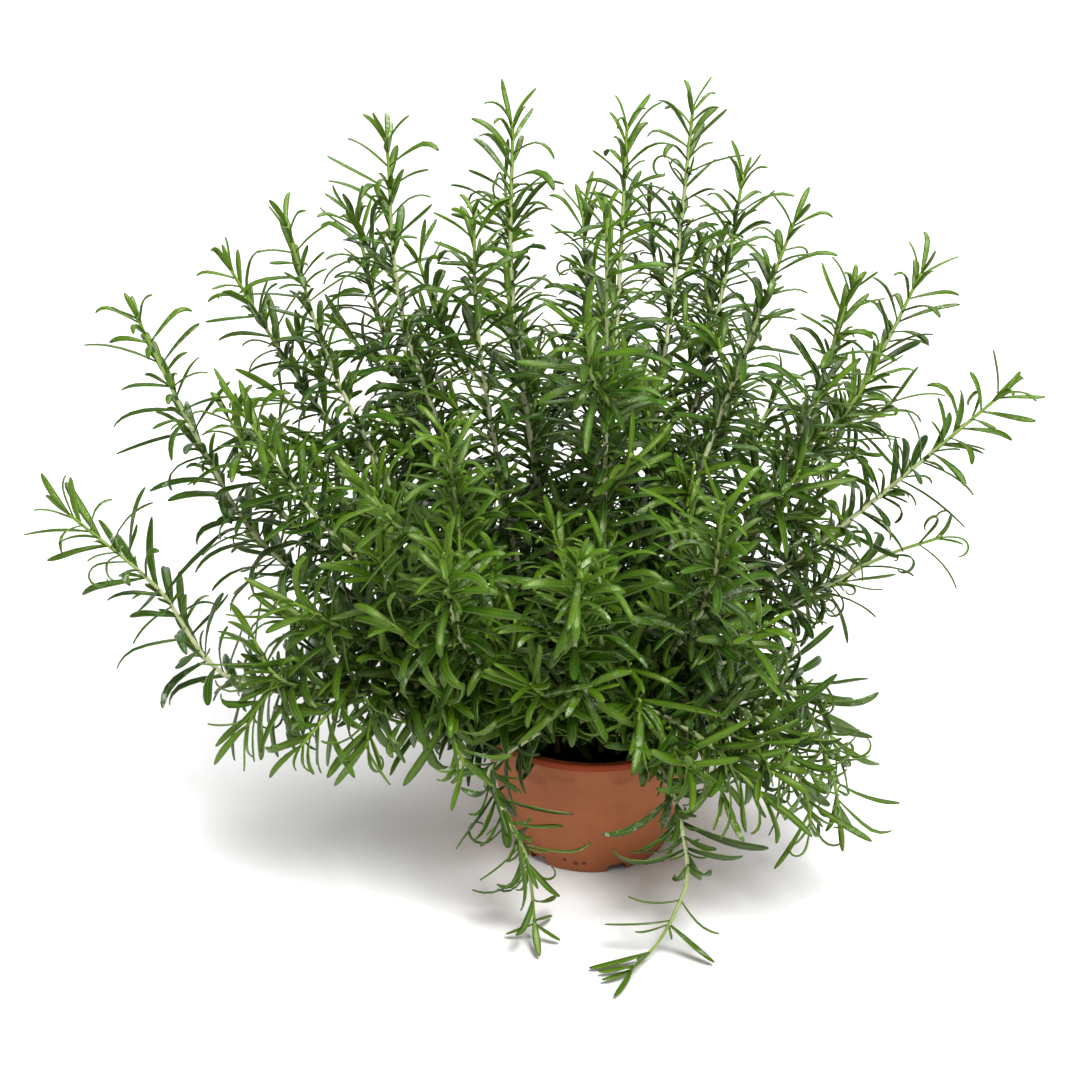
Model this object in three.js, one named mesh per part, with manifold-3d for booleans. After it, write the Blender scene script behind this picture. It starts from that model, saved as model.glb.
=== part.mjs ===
// A bushy potted rosemary: a thin moulded plant pot, its soil, and the leafy stems that stand in it.
// Sizes are in millimetres. The origin is the middle of the pot's base, +Z is up, and the side
// that faces -Y is the front, where two stems trail over the rim and lie along the surface.

import * as THREE from "three";
import { mergeVertices } from "three/addons/utils/BufferGeometryUtils.js";
import Module from "manifold-3d";

const wasm = await Module();
wasm.setup();

// Pot: a tapered wall with a rolled lip, and drain holes in the corner of its base
const potHeight = 76;
const rimRadius = 60;
const lipDepth = 4;
const lipOverhang = 2.4;
const baseRadius = 39;
const potWall = 2;
const potFloor = 3;
const baseEdge = 1.5;
const lipEdge = 1;
const potSides = 36;
const drainHoles = 6;
const drainWidth = 10;
const drainHeight = 5;
const drainReach = 9;
const firstDrainAngle = -72;

// Soil: it fills the pot to just under the lip
const soilTop = 67;
const soilEdge = 2.5;
const fitGap = 0.3;

// Stems: square in section, each standing in a plain hole in the soil
const holeDepth = 14;
const holeRadius = 2.8;
const holeSides = 6;
const collarHeight = 5;
const rootReach = 0.24;
const rootLeast = 7;
const rootMost = 44;
const rootSpacing = 8.2;
const rootRounds = 200;
const riseShare = 0.4;
const riseLift = 0.1;
const stemFoot = 2.1;
const stemTip = 1;
const stepLength = 40;
const stemGap = 5.5;
const stemTries = 13;
const stemShift = 4;

// Side shoots: short branches from the middle of a stem
const shootFoot = 1.2;
const shootTip = 0.95;
const shootLength = 62;
const shootSizes = [0.7, 1.15];
const shootPlaces = [0.42, 0.72];
const shootAngle = 48;
const shootLift = 0.35;
const shootTries = 8;
const stemPerShoot = 165;
const goldenTurn = 137.5;

// Leaves: narrow blades in opposite pairs, each pair about a quarter turn from the one before it
const pairSpacing = 6.5;
const tipCrowding = 1.5;
const tipBare = 1.5;
const keptPairs = 5;
const firstKeptPair = 3;
const leafLength = 34;
const leafWidth = 4.4;
const leafThickness = 1.6;
const leafFootWidth = 0.7;
const leafFootHeight = 1;
const youngReach = 20;
const oldReach = 160;
const bareLength = 50;
const bareShare = 0.4;
const shootBare = 12;
const leafGap = 5;
const leafTurn = 22;
const leafTries = 7;
const potGap = 2.2;
const surfaceGap = 1.6;
const layHeight = 3.2;
const layBend = 3;

// The front of the rim stays in sight: leaves rooted above it keep out of a space before it. Its
// sides, how far forward of the axis it starts, its height over the rim there and its slope
const openSides = [-30, 22];
const openStart = 50;
const openHeight = 6;
const openRise = 0.5;

// How leaves change with age: angles in degrees and shares of the full size, youngest and oldest
const ageCurve = 0.75;
const spreadByAge = [20, 42];
const spreadByPlace = [0, 28];
const leastSpread = 12;
const bendByAge = [6, 18];
const lengthByAge = [0.6, 1];
const widthByAge = [0.65, 0.9];
const widthByPlace = [1, 1.15];
const backPull = 0.7;
const downPull = 0.5;

// How leaves change with their height on the plant: shares of the size at the surface, at lowHeight
// and at highHeight
const lowHeight = 60;
const highHeight = 300;
const lengthByHeight = [0.8, 1.18, 0.9];
const widthByHeight = [1, 1.15, 0.92];

// How far one leaf may differ from the next
const turnScatter = [-20, 20];
const spreadScatter = [-14, 20];
const bendScatter = [-3, 32];
const lengthScatter = [0.62, 1.14];
const widthScatter = [0.88, 1.14];

// Where each stem goes: points that it passes through after the soil, the last one being its tip
const leftStems = [
  [[-75, -5, 98], [-170, -10, 92], [-208, -15, 148], [-246, -20, 190]],
  [[-95, -4, 122], [-154, -6, 163], [-183, -10, 220], [-208, -14, 287]],
  [[-85, 10, 160], [-138, 25, 235], [-170, 34, 290]],
  [[-75, 0, 150], [-120, 4, 248], [-140, 0, 326]],
  [[-60, 35, 150], [-97, 55, 235], [-114, 78, 298]],
  [[-50, 6, 160], [-88, 13, 270], [-95, 20, 361]],
  [[-80, -24, 135], [-128, -30, 192], [-160, -40, 253]],
  [[-90, -30, 128], [-142, -52, 126], [-163, -68, 102]],
  [[-75, -38, 125], [-110, -55, 145], [-138, -72, 172]],
  [[-70, -45, 112], [-114, -66, 117], [-137, -82, 100]],
  [[-70, 15, 120], [-126, 25, 128], [-166, 30, 150]],
  [[-85, 40, 125], [-150, 70, 160]],
];
const topStems = [
  [[-35, -8, 150], [-53, -12, 270], [-55, -20, 340]],
  [[-22, 5, 160], [-38, 15, 280], [-38, 30, 364]],
  [[6, 8, 170], [11, 18, 290], [14, 30, 363]],
  [[0, 30, 150], [-2, 60, 240], [-5, 88, 298]],
  [[2, -30, 120], [4, -46, 240], [3, -52, 353]],
  [[22, 25, 150], [37, 45, 270], [46, 70, 358]],
  [[35, 44, 150], [60, 70, 250], [72, 88, 317]],
  [[30, -2, 140], [65, 2, 250], [90, 10, 324]],
];
const rightStems = [
  [[50, -10, 140], [92, -17, 225], [113, -30, 308]],
  [[60, 12, 140], [125, 26, 232], [154, 40, 287]],
  [[65, 2, 125], [125, 2, 178], [190, 0, 243]],
  [[70, 8, 108], [136, 24, 140], [172, 36, 148]],
  [[62, -26, 112], [96, -44, 104], [111, -62, 78], [116, -68, 58]],
  [[70, -5, 105], [102, -20, 98], [118, -42, 70]],
  [[45, -50, 112], [78, -70, 106], [97, -84, 80], [101, -88, 60]],
  [[32, -40, 120], [50, -75, 175], [54, -103, 238]],
];
const frontStems = [
  [[-40, -55, 115], [-62, -90, 165], [-67, -124, 225]],
  [[-35, -38, 125], [-58, -68, 190], [-66, -90, 265]],
  [[-8, -60, 115], [-10, -98, 165], [-9, -138, 228]],
  [[5, -45, 118], [2, -78, 160], [3, -95, 208]],
  [[-45, -55, 112], [-66, -78, 128], [-60, -98, 100]],
  [[-60, -45, 112], [-98, -68, 122], [-106, -86, 102]],
  [[12, -62, 108], [20, -82, 126], [18, -92, 114]],
  [[28, -62, 110], [46, -84, 114], [58, -100, 84]],
];
const trailingStems = [
  [[22, -62, 92], [37, -86, 74], [43, -103, 46], [38, -106, 26], [29, -110, 9], [16, -124, 4]],
  [[-27, -62, 96], [-49, -78, 85], [-43, -89, 70], [-34, -93, 54], [-30, -95, 34], [-28, -97, 10]],
];
const backStems = [
  [[-60, 50, 120], [-100, 110, 175]],
  [[-20, 55, 130], [-35, 120, 215]],
  [[15, 60, 120], [25, 140, 180]],
  [[40, 50, 125], [80, 115, 215]],
  [[60, 35, 120], [130, 85, 190]],
  [[-25, 62, 105], [-60, 130, 120]],
  [[35, 62, 105], [60, 135, 115]],
  [[75, 30, 105], [130, 60, 110]],
];
const sideStems = [
  [[38, -54, 112], [66, -80, 110], [80, -98, 80]],
  [[44, -46, 112], [74, -66, 106], [92, -77, 76]],
  [[-88, -30, 118], [-132, -50, 118], [-151, -59, 130], [-158, -62, 148]],
  [[-92, -14, 138], [-142, -18, 184], [-169, -22, 242]],
];
const routes = [
  ...leftStems,
  ...topStems,
  ...rightStems,
  ...frontStems,
  ...trailingStems,
  ...backStems,
  ...sideStems,
];

// Stems without side shoots: the outer ones at both sides and the trailing ones
const loneStems = [
  ...leftStems.slice(0, 2),
  leftStems[6],
  ...leftStems.slice(10),
  ...rightStems.slice(2, 6),
  ...trailingStems,
  sideStems[3],
];

const mergeTolerance = 1e-4;
const joinTolerance = 0.02;
const seed = 20261;
const up = new THREE.Vector3(0, 0, 1);
const toRadians = Math.PI / 180;

function vector(point) {
  return new THREE.Vector3(point[0], point[1], point[2]);
}

// An even random number from 0 to 1 that belongs to its keys, so each leaf keeps its own draw
function draw(...keys) {
  let mixed = seed;
  for (const key of keys) {
    mixed = Math.imul(mixed ^ (key + 1), 2654435761);
    mixed ^= mixed >>> 15;
  }
  mixed = Math.imul(mixed ^ (mixed >>> 13), 2246822519);
  return ((mixed ^ (mixed >>> 16)) >>> 0) / 4294967296;
}

function between(low, high, share) {
  return low + (high - low) * share;
}

// A solid that can be joined and cut, from a closed geometry
function solidOf(geometry) {
  const bare = geometry.clone();
  bare.deleteAttribute("normal");
  bare.deleteAttribute("uv");
  const merged = mergeVertices(bare, mergeTolerance);
  const mesh = new wasm.Mesh({
    numProp: 3,
    vertProperties: new Float32Array(merged.attributes.position.array),
    triVerts: new Uint32Array(merged.index.array),
    tolerance: joinTolerance,
  });
  return new wasm.Manifold(mesh);
}

function geometryOf(solid) {
  const mesh = solid.getMesh();
  const geometry = new THREE.BufferGeometry();
  geometry.setAttribute("position", new THREE.BufferAttribute(new Float32Array(mesh.vertProperties), 3));
  geometry.setIndex(new THREE.BufferAttribute(new Uint32Array(mesh.triVerts), 1));
  geometry.computeVertexNormals();
  return geometry;
}

// The outside radius of the pot's wall at a height
function wallRadius(height) {
  return between(baseRadius, rimRadius - lipOverhang, height / (potHeight - lipDepth));
}

function innerRadius(height) {
  return wallRadius(height) - potWall;
}

function latheOf(profile, sides) {
  const points = profile.map(([radius, height]) => new THREE.Vector2(radius, height));
  return new THREE.LatheGeometry(points, sides).rotateX(Math.PI / 2);
}

function makePot() {
  const underLip = potHeight - lipDepth;
  const profile = [
    [0, 0],
    [baseRadius - baseEdge, 0],
    [baseRadius, baseEdge],
    [wallRadius(underLip), underLip],
    [rimRadius - lipEdge, underLip],
    [rimRadius, underLip + lipEdge],
    [rimRadius, potHeight - lipEdge],
    [rimRadius - lipEdge, potHeight],
    [innerRadius(potHeight) + lipEdge, potHeight],
    [innerRadius(potHeight - lipEdge), potHeight - lipEdge],
    [innerRadius(potFloor), potFloor],
    [0, potFloor],
  ];
  let pot = solidOf(latheOf(profile, potSides));
  for (let i = 0; i < drainHoles; i += 1) {
    const angle = (firstDrainAngle + (360 / drainHoles) * i) * toRadians;
    const cutter = new THREE.BoxGeometry(2 * drainReach, drainWidth, 2 * drainHeight);
    cutter.translate(baseRadius, 0, 0).rotateZ(angle);
    pot = pot.subtract(solidOf(cutter));
  }
  return geometryOf(pot);
}

// The soil ends fitGap inside the pot, with one hole for each stem
function makeSoil(roots) {
  const floor = potFloor + fitGap;
  const shoulder = soilTop - soilEdge;
  const profile = [
    [0, floor],
    [innerRadius(floor) - fitGap, floor],
    [innerRadius(shoulder) - fitGap, shoulder],
    [innerRadius(soilTop) - fitGap - soilEdge, soilTop],
    [0, soilTop],
  ];
  const holes = roots.map((root) => {
    const hole = new THREE.CylinderGeometry(holeRadius, holeRadius, 2 * holeDepth, holeSides);
    return solidOf(hole.rotateX(Math.PI / 2).translate(root.x, root.y, soilTop));
  });
  return geometryOf(solidOf(latheOf(profile, potSides)).subtract(wasm.Manifold.union(holes)));
}

// Each stem is rooted on the side that it leans to, and the roots push each other apart
function placeRoots() {
  const roots = routes.map((route) => {
    const tip = route[route.length - 1];
    const away = new THREE.Vector3(tip[0], tip[1], 0);
    const reach = THREE.MathUtils.clamp(away.length() * rootReach, rootLeast, rootMost);
    return away.setLength(reach);
  });
  for (let round = 0; round < rootRounds; round += 1) {
    for (let i = 0; i < roots.length; i += 1) {
      for (let j = i + 1; j < roots.length; j += 1) {
        const apart = roots[j].clone().sub(roots[i]);
        const distance = apart.length();
        if (distance < rootSpacing) {
          apart.multiplyScalar((rootSpacing - distance) / (2 * distance));
          roots[j].add(apart);
          roots[i].sub(apart);
        }
      }
    }
    roots.forEach((root) => root.clampLength(0, rootMost));
  }
  return roots;
}

// A smooth curve through the points, as straight steps of about stepLength with the length run so
// far. A foot below the first point is joined to it by a step of its own.
function tracePath(points, foot = null) {
  const steps = foot ? [foot, points[0].clone()] : [points[0].clone()];
  for (let i = 0; i < points.length - 1; i += 1) {
    const from = points[i];
    const to = points[i + 1];
    const before = i > 0 ? points[i - 1] : from.clone().multiplyScalar(2).sub(to);
    const after = i + 2 < points.length ? points[i + 2] : to.clone().multiplyScalar(2).sub(from);
    const pullFrom = to.clone().sub(before).multiplyScalar(0.5);
    const pullTo = after.clone().sub(from).multiplyScalar(0.5);
    const count = Math.max(1, Math.round(from.distanceTo(to) / stepLength));
    for (let k = 1; k <= count; k += 1) {
      const u = k / count;
      const point = from.clone().multiplyScalar(2 * u ** 3 - 3 * u ** 2 + 1);
      point.addScaledVector(pullFrom, u ** 3 - 2 * u ** 2 + u);
      point.addScaledVector(to, 3 * u ** 2 - 2 * u ** 3);
      point.addScaledVector(pullTo, u ** 3 - u ** 2);
      steps.push(point);
    }
  }
  const run = [0];
  for (let i = 1; i < steps.length; i += 1) {
    run.push(run[i - 1] + steps[i].distanceTo(steps[i - 1]));
  }
  const chord = steps[steps.length - 1].clone().sub(points[0]);
  const side = up.clone().cross(chord).normalize();
  return { steps, run, side, first: foot ? 1 : 0, length: run[run.length - 1] };
}

// The directions across and out of a path, for a direction along it
function turnOf(path, along) {
  const side = path.side.clone().addScaledVector(along, -path.side.dot(along)).normalize();
  return { along, side, out: side.clone().cross(along) };
}

// The point at a distance along a path, with its directions
function placeOn(path, distance) {
  let i = 1;
  while (i < path.run.length - 1 && path.run[i] < distance) {
    i += 1;
  }
  const share = (distance - path.run[i - 1]) / (path.run[i] - path.run[i - 1]);
  const along = path.steps[i].clone().sub(path.steps[i - 1]).normalize();
  const point = path.steps[i - 1].clone().lerp(path.steps[i], share);
  return { point, step: i, share, ...turnOf(path, along) };
}

// A leaf's middle line is an arc that starts along `ahead` and turns towards `inward`
function leafPoint(leaf, share) {
  const angle = leaf.bend * share;
  const radius = leaf.length / leaf.bend;
  const point = leaf.root.clone().addScaledVector(leaf.ahead, radius * Math.sin(angle));
  return point.addScaledVector(leaf.inward, radius * (1 - Math.cos(angle)));
}

// The corners of the square section at each step of a path
function makeRings(path, footRadius, tipRadius) {
  const last = path.steps.length - 1;
  return path.steps.map((point, i) => {
    const before = path.steps[i > path.first ? i - 1 : i];
    const after = path.steps[i > path.first ? Math.min(i + 1, last) : i + 1];
    const upright = path.first > 0 && i <= path.first;
    const { side, out } = turnOf(path, upright ? up : after.clone().sub(before).normalize());
    const radius = between(footRadius, tipRadius, path.run[i] / path.length);
    return [45, 135, 225, 315].map((angle) => {
      const corner = point.clone().addScaledVector(out, radius * Math.cos(angle * toRadians));
      return corner.addScaledVector(side, radius * Math.sin(angle * toRadians));
    });
  });
}

// The three corners of a leaf's section where it leaves a side of the stem
function leafFoot(leaf, [a, b, c, d]) {
  const margin = leafFootHeight / a.distanceTo(d);
  const share = THREE.MathUtils.clamp(leaf.share, margin, 1 - margin);
  const left = a.clone().lerp(d, share);
  const right = b.clone().lerp(c, share);
  const middle = left.clone().lerp(right, 0.5);
  const across = left.sub(right).multiplyScalar(leafFootWidth / 2);
  const along = d.clone().sub(a).setLength(leafFootHeight / 3);
  return [
    middle.clone().add(across).sub(along),
    middle.clone().sub(across).sub(along),
    middle.clone().addScaledVector(along, 2),
  ];
}

// The same three corners in the middle of the leaf, where it is widest
function leafMiddle(leaf) {
  const across = leaf.inward.clone().cross(leaf.ahead).multiplyScalar(leaf.width / 2);
  const face = leaf.ahead.clone().multiplyScalar(Math.sin(leaf.bend / 2));
  face.addScaledVector(leaf.inward, -Math.cos(leaf.bend / 2)).multiplyScalar(leaf.thickness / 3);
  const middle = leafPoint(leaf, 0.5);
  return [
    middle.clone().add(across).sub(face),
    middle.clone().sub(across).sub(face),
    middle.clone().addScaledVector(face, 2),
  ];
}

// One closed skin for a shoot: a square stem whose sides open into its three-sided leaves
function makeShootSkin(path, footRadius, tipRadius, leaves) {
  const points = [];
  const triangles = [];
  const place = (corners) => corners.map((corner) => points.push(corner) - 1);
  const rings = makeRings(path, footRadius, tipRadius);
  const ringIndexes = rings.map(place);
  const last = rings.length - 1;
  for (let i = 0; i < last; i += 1) {
    for (let f = 0; f < 4; f += 1) {
      const g = (f + 1) % 4;
      const corners = [rings[i][f], rings[i][g], rings[i + 1][g], rings[i + 1][f]];
      const outline = [ringIndexes[i][f], ringIndexes[i][g], ringIndexes[i + 1][g], ringIndexes[i + 1][f]];
      const along = corners[3].clone().sub(corners[0]).normalize();
      const across = corners[0].clone().sub(corners[1]).normalize();
      const flat = (point) => new THREE.Vector2(point.dot(along), point.dot(across));
      const grown = leaves.filter((leaf) => leaf.step === i + 1 && leaf.face === f);
      const feet = grown.map((leaf) => leafFoot(leaf, corners));
      const feetIndexes = feet.map(place);
      const indexes = [...outline, ...feetIndexes.flat()];
      const cuts = feet.map((foot) => foot.map(flat));
      for (const [a, b, c] of THREE.ShapeUtils.triangulateShape(corners.map(flat), cuts)) {
        const first = flat(points[indexes[b]]).sub(flat(points[indexes[a]]));
        const second = flat(points[indexes[c]]).sub(flat(points[indexes[a]]));
        const turned = first.cross(second) < 0;
        triangles.push(indexes[a], indexes[turned ? c : b], indexes[turned ? b : c]);
      }
      grown.forEach((leaf, k) => {
        const foot = feetIndexes[k];
        const middle = place(leafMiddle(leaf));
        const tip = points.push(leafPoint(leaf, 1)) - 1;
        for (let j = 0; j < 3; j += 1) {
          const n = (j + 1) % 3;
          triangles.push(foot[j], foot[n], middle[n], foot[j], middle[n], middle[j]);
          triangles.push(middle[j], middle[n], tip);
        }
      });
    }
  }
  const [a, b, c, d] = ringIndexes[0];
  triangles.push(a, c, b, a, d, c);
  const [e, f, g, h] = ringIndexes[last];
  triangles.push(e, f, g, e, g, h);
  const skin = new THREE.BufferGeometry().setFromPoints(points);
  skin.setIndex(triangles);
  return skin;
}

// How far along its path a pair stands, counted from the tip
function pairDistance(path, pair) {
  return path.length - tipBare - (pairSpacing * pair * pair) / (pair + tipCrowding);
}

function byHeight([ground, low, high], height) {
  if (height < lowHeight) {
    return between(ground, low, height / lowHeight);
  }
  return between(low, high, Math.min(1, (height - lowHeight) / (highHeight - lowHeight)));
}

// One leaf of a pair, counted from the shoot's tip: older leaves are longer and spread wider
function growLeaf(path, distance, pair, rank, keys) {
  const age = Math.min(1, (path.length - distance) / youngReach);
  const old = Math.min(1, (path.length - distance) / oldReach);
  const { point, step, share, along, side, out } = placeOn(path, distance);
  const quarter = pair + 2 * rank;
  const turn = quarter * 90 + between(...turnScatter, draw(...keys, 1));
  const usual = between(...spreadByAge, age ** ageCurve) + between(...spreadByPlace, old);
  const spread = Math.max(leastSpread, usual + between(...spreadScatter, draw(...keys, 2)));
  const bend = between(...bendByAge, age) + between(...bendScatter, draw(...keys, 3));
  const grown = between(...lengthByAge, age ** ageCurve) * byHeight(lengthByHeight, point.z);
  const young = between(...widthByAge, age);
  const broad = young * between(...widthByPlace, old) * byHeight(widthByHeight, point.z);
  return {
    root: point,
    step,
    share,
    face: (4 - (quarter % 4)) % 4,
    along,
    side,
    out,
    turn: turn * toRadians,
    spread: spread * toRadians,
    arch: bend * toRadians,
    length: leafLength * grown * between(...lengthScatter, draw(...keys, 4)),
    width: leafWidth * broad * between(...widthScatter, draw(...keys, 5)),
    thickness: leafThickness,
  };
}

// Point the leaf away from the stem at its turn, arching back and down a little
function aimLeaf(leaf, extraTurn) {
  const turn = leaf.turn + extraTurn;
  const radial = leaf.side.clone().multiplyScalar(Math.cos(turn)).addScaledVector(leaf.out, Math.sin(turn));
  leaf.ahead = leaf.along.clone().multiplyScalar(Math.cos(leaf.spread));
  leaf.ahead.addScaledVector(radial, Math.sin(leaf.spread));
  const back = radial.multiplyScalar(Math.cos(leaf.spread));
  back.addScaledVector(leaf.along, -Math.sin(leaf.spread));
  const down = up.clone().multiplyScalar(-1).addScaledVector(leaf.ahead, leaf.ahead.z);
  leaf.inward = back.multiplyScalar(backPull).addScaledVector(down, downPull).normalize();
  leaf.bend = leaf.arch;
  if (leafPoint(leaf, 1).z < layHeight) {
    layLeaf(leaf);
  }
}

// Lower the leaf's tip to the surface and no further, and flatten the leaf
function layLeaf(leaf) {
  const slope = (layHeight - leaf.root.z) / leaf.length;
  const level = new THREE.Vector3(leaf.ahead.x, leaf.ahead.y, 0).normalize();
  leaf.ahead = level.multiplyScalar(Math.sqrt(1 - slope ** 2));
  leaf.ahead.z = slope;
  leaf.inward = up.clone().multiplyScalar(-1).addScaledVector(leaf.ahead, slope).normalize();
  leaf.bend = layBend * toRadians;
}

// The least distance between two straight pieces
function gapBetween(a, b, c, d) {
  const first = b.clone().sub(a);
  const second = d.clone().sub(c);
  const offset = a.clone().sub(c);
  const firstSquare = first.dot(first);
  const secondSquare = second.dot(second);
  const mixed = first.dot(second);
  const firstOffset = first.dot(offset);
  const secondOffset = second.dot(offset);
  const slack = firstSquare * secondSquare - mixed * mixed;
  let s = 0;
  if (slack > 1e-9) {
    s = THREE.MathUtils.clamp((mixed * secondOffset - firstOffset * secondSquare) / slack, 0, 1);
  }
  let t = (mixed * s + secondOffset) / secondSquare;
  if (t < 0 || t > 1) {
    t = THREE.MathUtils.clamp(t, 0, 1);
    s = THREE.MathUtils.clamp((mixed * t - firstOffset) / firstSquare, 0, 1);
  }
  return a.clone().addScaledVector(first, s).distanceTo(c.clone().addScaledVector(second, t));
}

// Clear of the pot and the soil, and above the surface that the pot stands on
function clearOfPot(point) {
  const radius = Math.hypot(point.x, point.y);
  if (point.z < surfaceGap) {
    return false;
  }
  if (radius < rimRadius - 2 * potWall - potGap) {
    return point.z > soilTop + potGap;
  }
  return point.z > potHeight + potGap || radius > wallRadius(point.z) + lipOverhang + potGap;
}

// In the space before the rim, which only leaves rooted below it may cross
function hidesRim({ x, y, z }) {
  const beyond = -y - openStart;
  const top = potHeight + openHeight + beyond * openRise;
  return x > openSides[0] && x < openSides[1] && beyond > 0 && z < top;
}

// Whether a new piece keeps its distance from the pieces so far, apart from those it grows with
function isClear(a, b, taken, gap, growsWith) {
  return taken.every((other) => {
    if (growsWith(other)) {
      return true;
    }
    const reach = gap + (a.distanceTo(b) + other.a.distanceTo(other.b)) / 2;
    const middle = a.clone().add(b).distanceTo(other.a.clone().add(other.b)) / 2;
    return middle > reach || gapBetween(a, b, other.a, other.b) > gap;
  });
}

function addPath(path, taken, stem) {
  for (let i = path.first + 1; i < path.steps.length; i += 1) {
    taken.push({ a: path.steps[i - 1], b: path.steps[i], stem, pair: null });
  }
}

function pathIsClear(path, taken, stem) {
  const sameStem = (other) => other.stem === stem;
  for (let i = path.first + 1; i < path.steps.length; i += 1) {
    const clear = isClear(path.steps[i - 1], path.steps[i], taken, stemGap, sameStem);
    if (!clear || !clearOfPot(path.steps[i])) {
      return false;
    }
  }
  return true;
}

// A stem's path from the soil: it is moved sideways until it is clear of the stems before it
function growStem(stem, root, taken) {
  const foot = root.clone().setZ(soilTop - holeDepth + fitGap);
  const collar = root.clone().setZ(soilTop + collarHeight);
  const route = routes[stem].map(vector);
  const rise = collar.clone().lerp(route[0], riseShare);
  rise.z += collar.distanceTo(route[0]) * riseLift;
  const tip = route[route.length - 1];
  const across = new THREE.Vector3(-tip.y, tip.x, 0).normalize();
  let path = null;
  for (let attempt = 0; attempt < stemTries; attempt += 1) {
    const shift = Math.ceil(attempt / 2) * (attempt % 2 ? stemShift : -stemShift);
    const points = [collar, rise.clone().addScaledVector(across, shift / 2)];
    route.forEach((point, i) => {
      points.push(point.clone().addScaledVector(across, i === route.length - 1 ? 0 : shift));
    });
    path = tracePath(points, foot);
    if (pathIsClear(path, taken, stem)) {
      break;
    }
  }
  addPath(path, taken, stem);
  return path;
}

// Side shoots leave the stem at an angle and turn up again, each where there is room for it
function growShoots(stem, path, taken) {
  const shoots = [];
  const count = loneStems.includes(routes[stem]) ? 0 : Math.floor(path.length / stemPerShoot);
  for (let i = 0; i < count; i += 1) {
    const distance = path.length * between(...shootPlaces, (i + draw(stem, i, 11)) / count);
    const { point, along, side, out } = placeOn(path, distance);
    const size = shootLength * between(...shootSizes, draw(stem, i, 12));
    for (let attempt = 0; attempt < shootTries; attempt += 1) {
      const turn = (360 * draw(stem, i, 13) + attempt * goldenTurn) * toRadians;
      const radial = side.clone().multiplyScalar(Math.cos(turn)).addScaledVector(out, Math.sin(turn));
      const ahead = along.clone().multiplyScalar(Math.cos(shootAngle * toRadians));
      ahead.addScaledVector(radial, Math.sin(shootAngle * toRadians));
      const bendPoint = point.clone().addScaledVector(ahead, size / 2);
      const later = ahead.clone().lerp(along, shootLift);
      later.z += shootLift;
      const tip = bendPoint.clone().addScaledVector(later.normalize(), size / 2);
      const shoot = tracePath([point, bendPoint, tip]);
      if (pathIsClear(shoot, taken, stem)) {
        addPath(shoot, taken, stem);
        shoots.push(shoot);
        break;
      }
    }
  }
  return shoots;
}

// Add a leaf if some turn of it keeps clear of everything else
function settleLeaf(leaf, taken, leaves, stem, pair) {
  const growsWith = (other) => other.stem === stem && (other.pair === null || other.pair === pair);
  const low = leaf.root.z < potHeight;
  for (let attempt = 0; attempt < leafTries; attempt += 1) {
    const steps = Math.ceil(attempt / 2) * (attempt % 2 ? 1 : -1);
    aimLeaf(leaf, steps * leafTurn * toRadians);
    const start = leafPoint(leaf, 0.15);
    const middle = leafPoint(leaf, 0.5);
    const end = leafPoint(leaf, 1);
    const open = [middle, end].every((point) => clearOfPot(point) && (low || !hidesRim(point)));
    const pieces = [{ a: start, b: middle, stem, pair }, { a: middle, b: end, stem, pair }];
    if (open && pieces.every(({ a, b }) => isClear(a, b, taken, leafGap, growsWith))) {
      taken.push(...pieces);
      leaves.push(leaf);
      return;
    }
  }
}

// The leaves of one shoot, in pairs that stand closer together towards its tip
function growLeaves(stem, order, path, taken) {
  const leaves = [];
  const key = stem * 10 + order;
  const bare = order > 0 ? shootBare : Math.min(bareLength, path.length * bareShare);
  for (let pair = 0; pairDistance(path, pair) > bare; pair += 1) {
    const kept = pair === 0 || pair % keptPairs === firstKeptPair;
    for (let rank = 0; kept && rank < 2; rank += 1) {
      const leaf = growLeaf(path, pairDistance(path, pair), pair, rank, [key, pair, rank]);
      settleLeaf(leaf, taken, leaves, stem, key * 100 + pair);
    }
  }
  return leaves;
}

function makeMaterial(colour, roughness) {
  return new THREE.MeshStandardMaterial({ color: colour, roughness, metalness: 0 });
}

function addMesh(group, name, geometry, material) {
  const mesh = new THREE.Mesh(geometry, material);
  mesh.name = name;
  group.add(mesh);
}

// Stems first, so that every leaf knows all of them
function makeStems(group, roots, material) {
  const taken = [];
  const plants = roots.map((root, stem) => ({ path: growStem(stem, root, taken) }));
  plants.forEach((plant, stem) => {
    plant.shoots = growShoots(stem, plant.path, taken);
  });
  plants.forEach((plant, stem) => {
    const paths = [plant.path, ...plant.shoots];
    plant.leaves = paths.map((path, order) => growLeaves(stem, order, path, taken));
  });
  plants.forEach((plant, stem) => {
    const pieces = [makeShootSkin(plant.path, stemFoot, stemTip, plant.leaves[0])];
    plant.shoots.forEach((shoot, i) => {
      pieces.push(makeShootSkin(shoot, shootFoot, shootTip, plant.leaves[i + 1]));
    });
    const solid = wasm.Manifold.union(pieces.map(solidOf));
    const name = `leafy_stem_${String(stem + 1).padStart(2, "0")}`;
    addMesh(group, name, geometryOf(solid), material);
  });
}

const rosemary = new THREE.Group();
const roots = placeRoots();
addMesh(rosemary, "pot", makePot(), makeMaterial(0x96583f, 0.6));
addMesh(rosemary, "soil", makeSoil(roots), makeMaterial(0x1d1712, 0.95));
makeStems(rosemary, roots, makeMaterial(0x3c6a1e, 0.5));

export default rosemary;
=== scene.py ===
# A bushy potted rosemary on a pale floor, dressed around its packed pot, soil and leafy stems

import time
from math import ceil, cos, hypot, pi, radians, sin, sqrt
from types import SimpleNamespace

import bmesh
import bpy
import numpy as np
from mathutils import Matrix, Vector, noise


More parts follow.
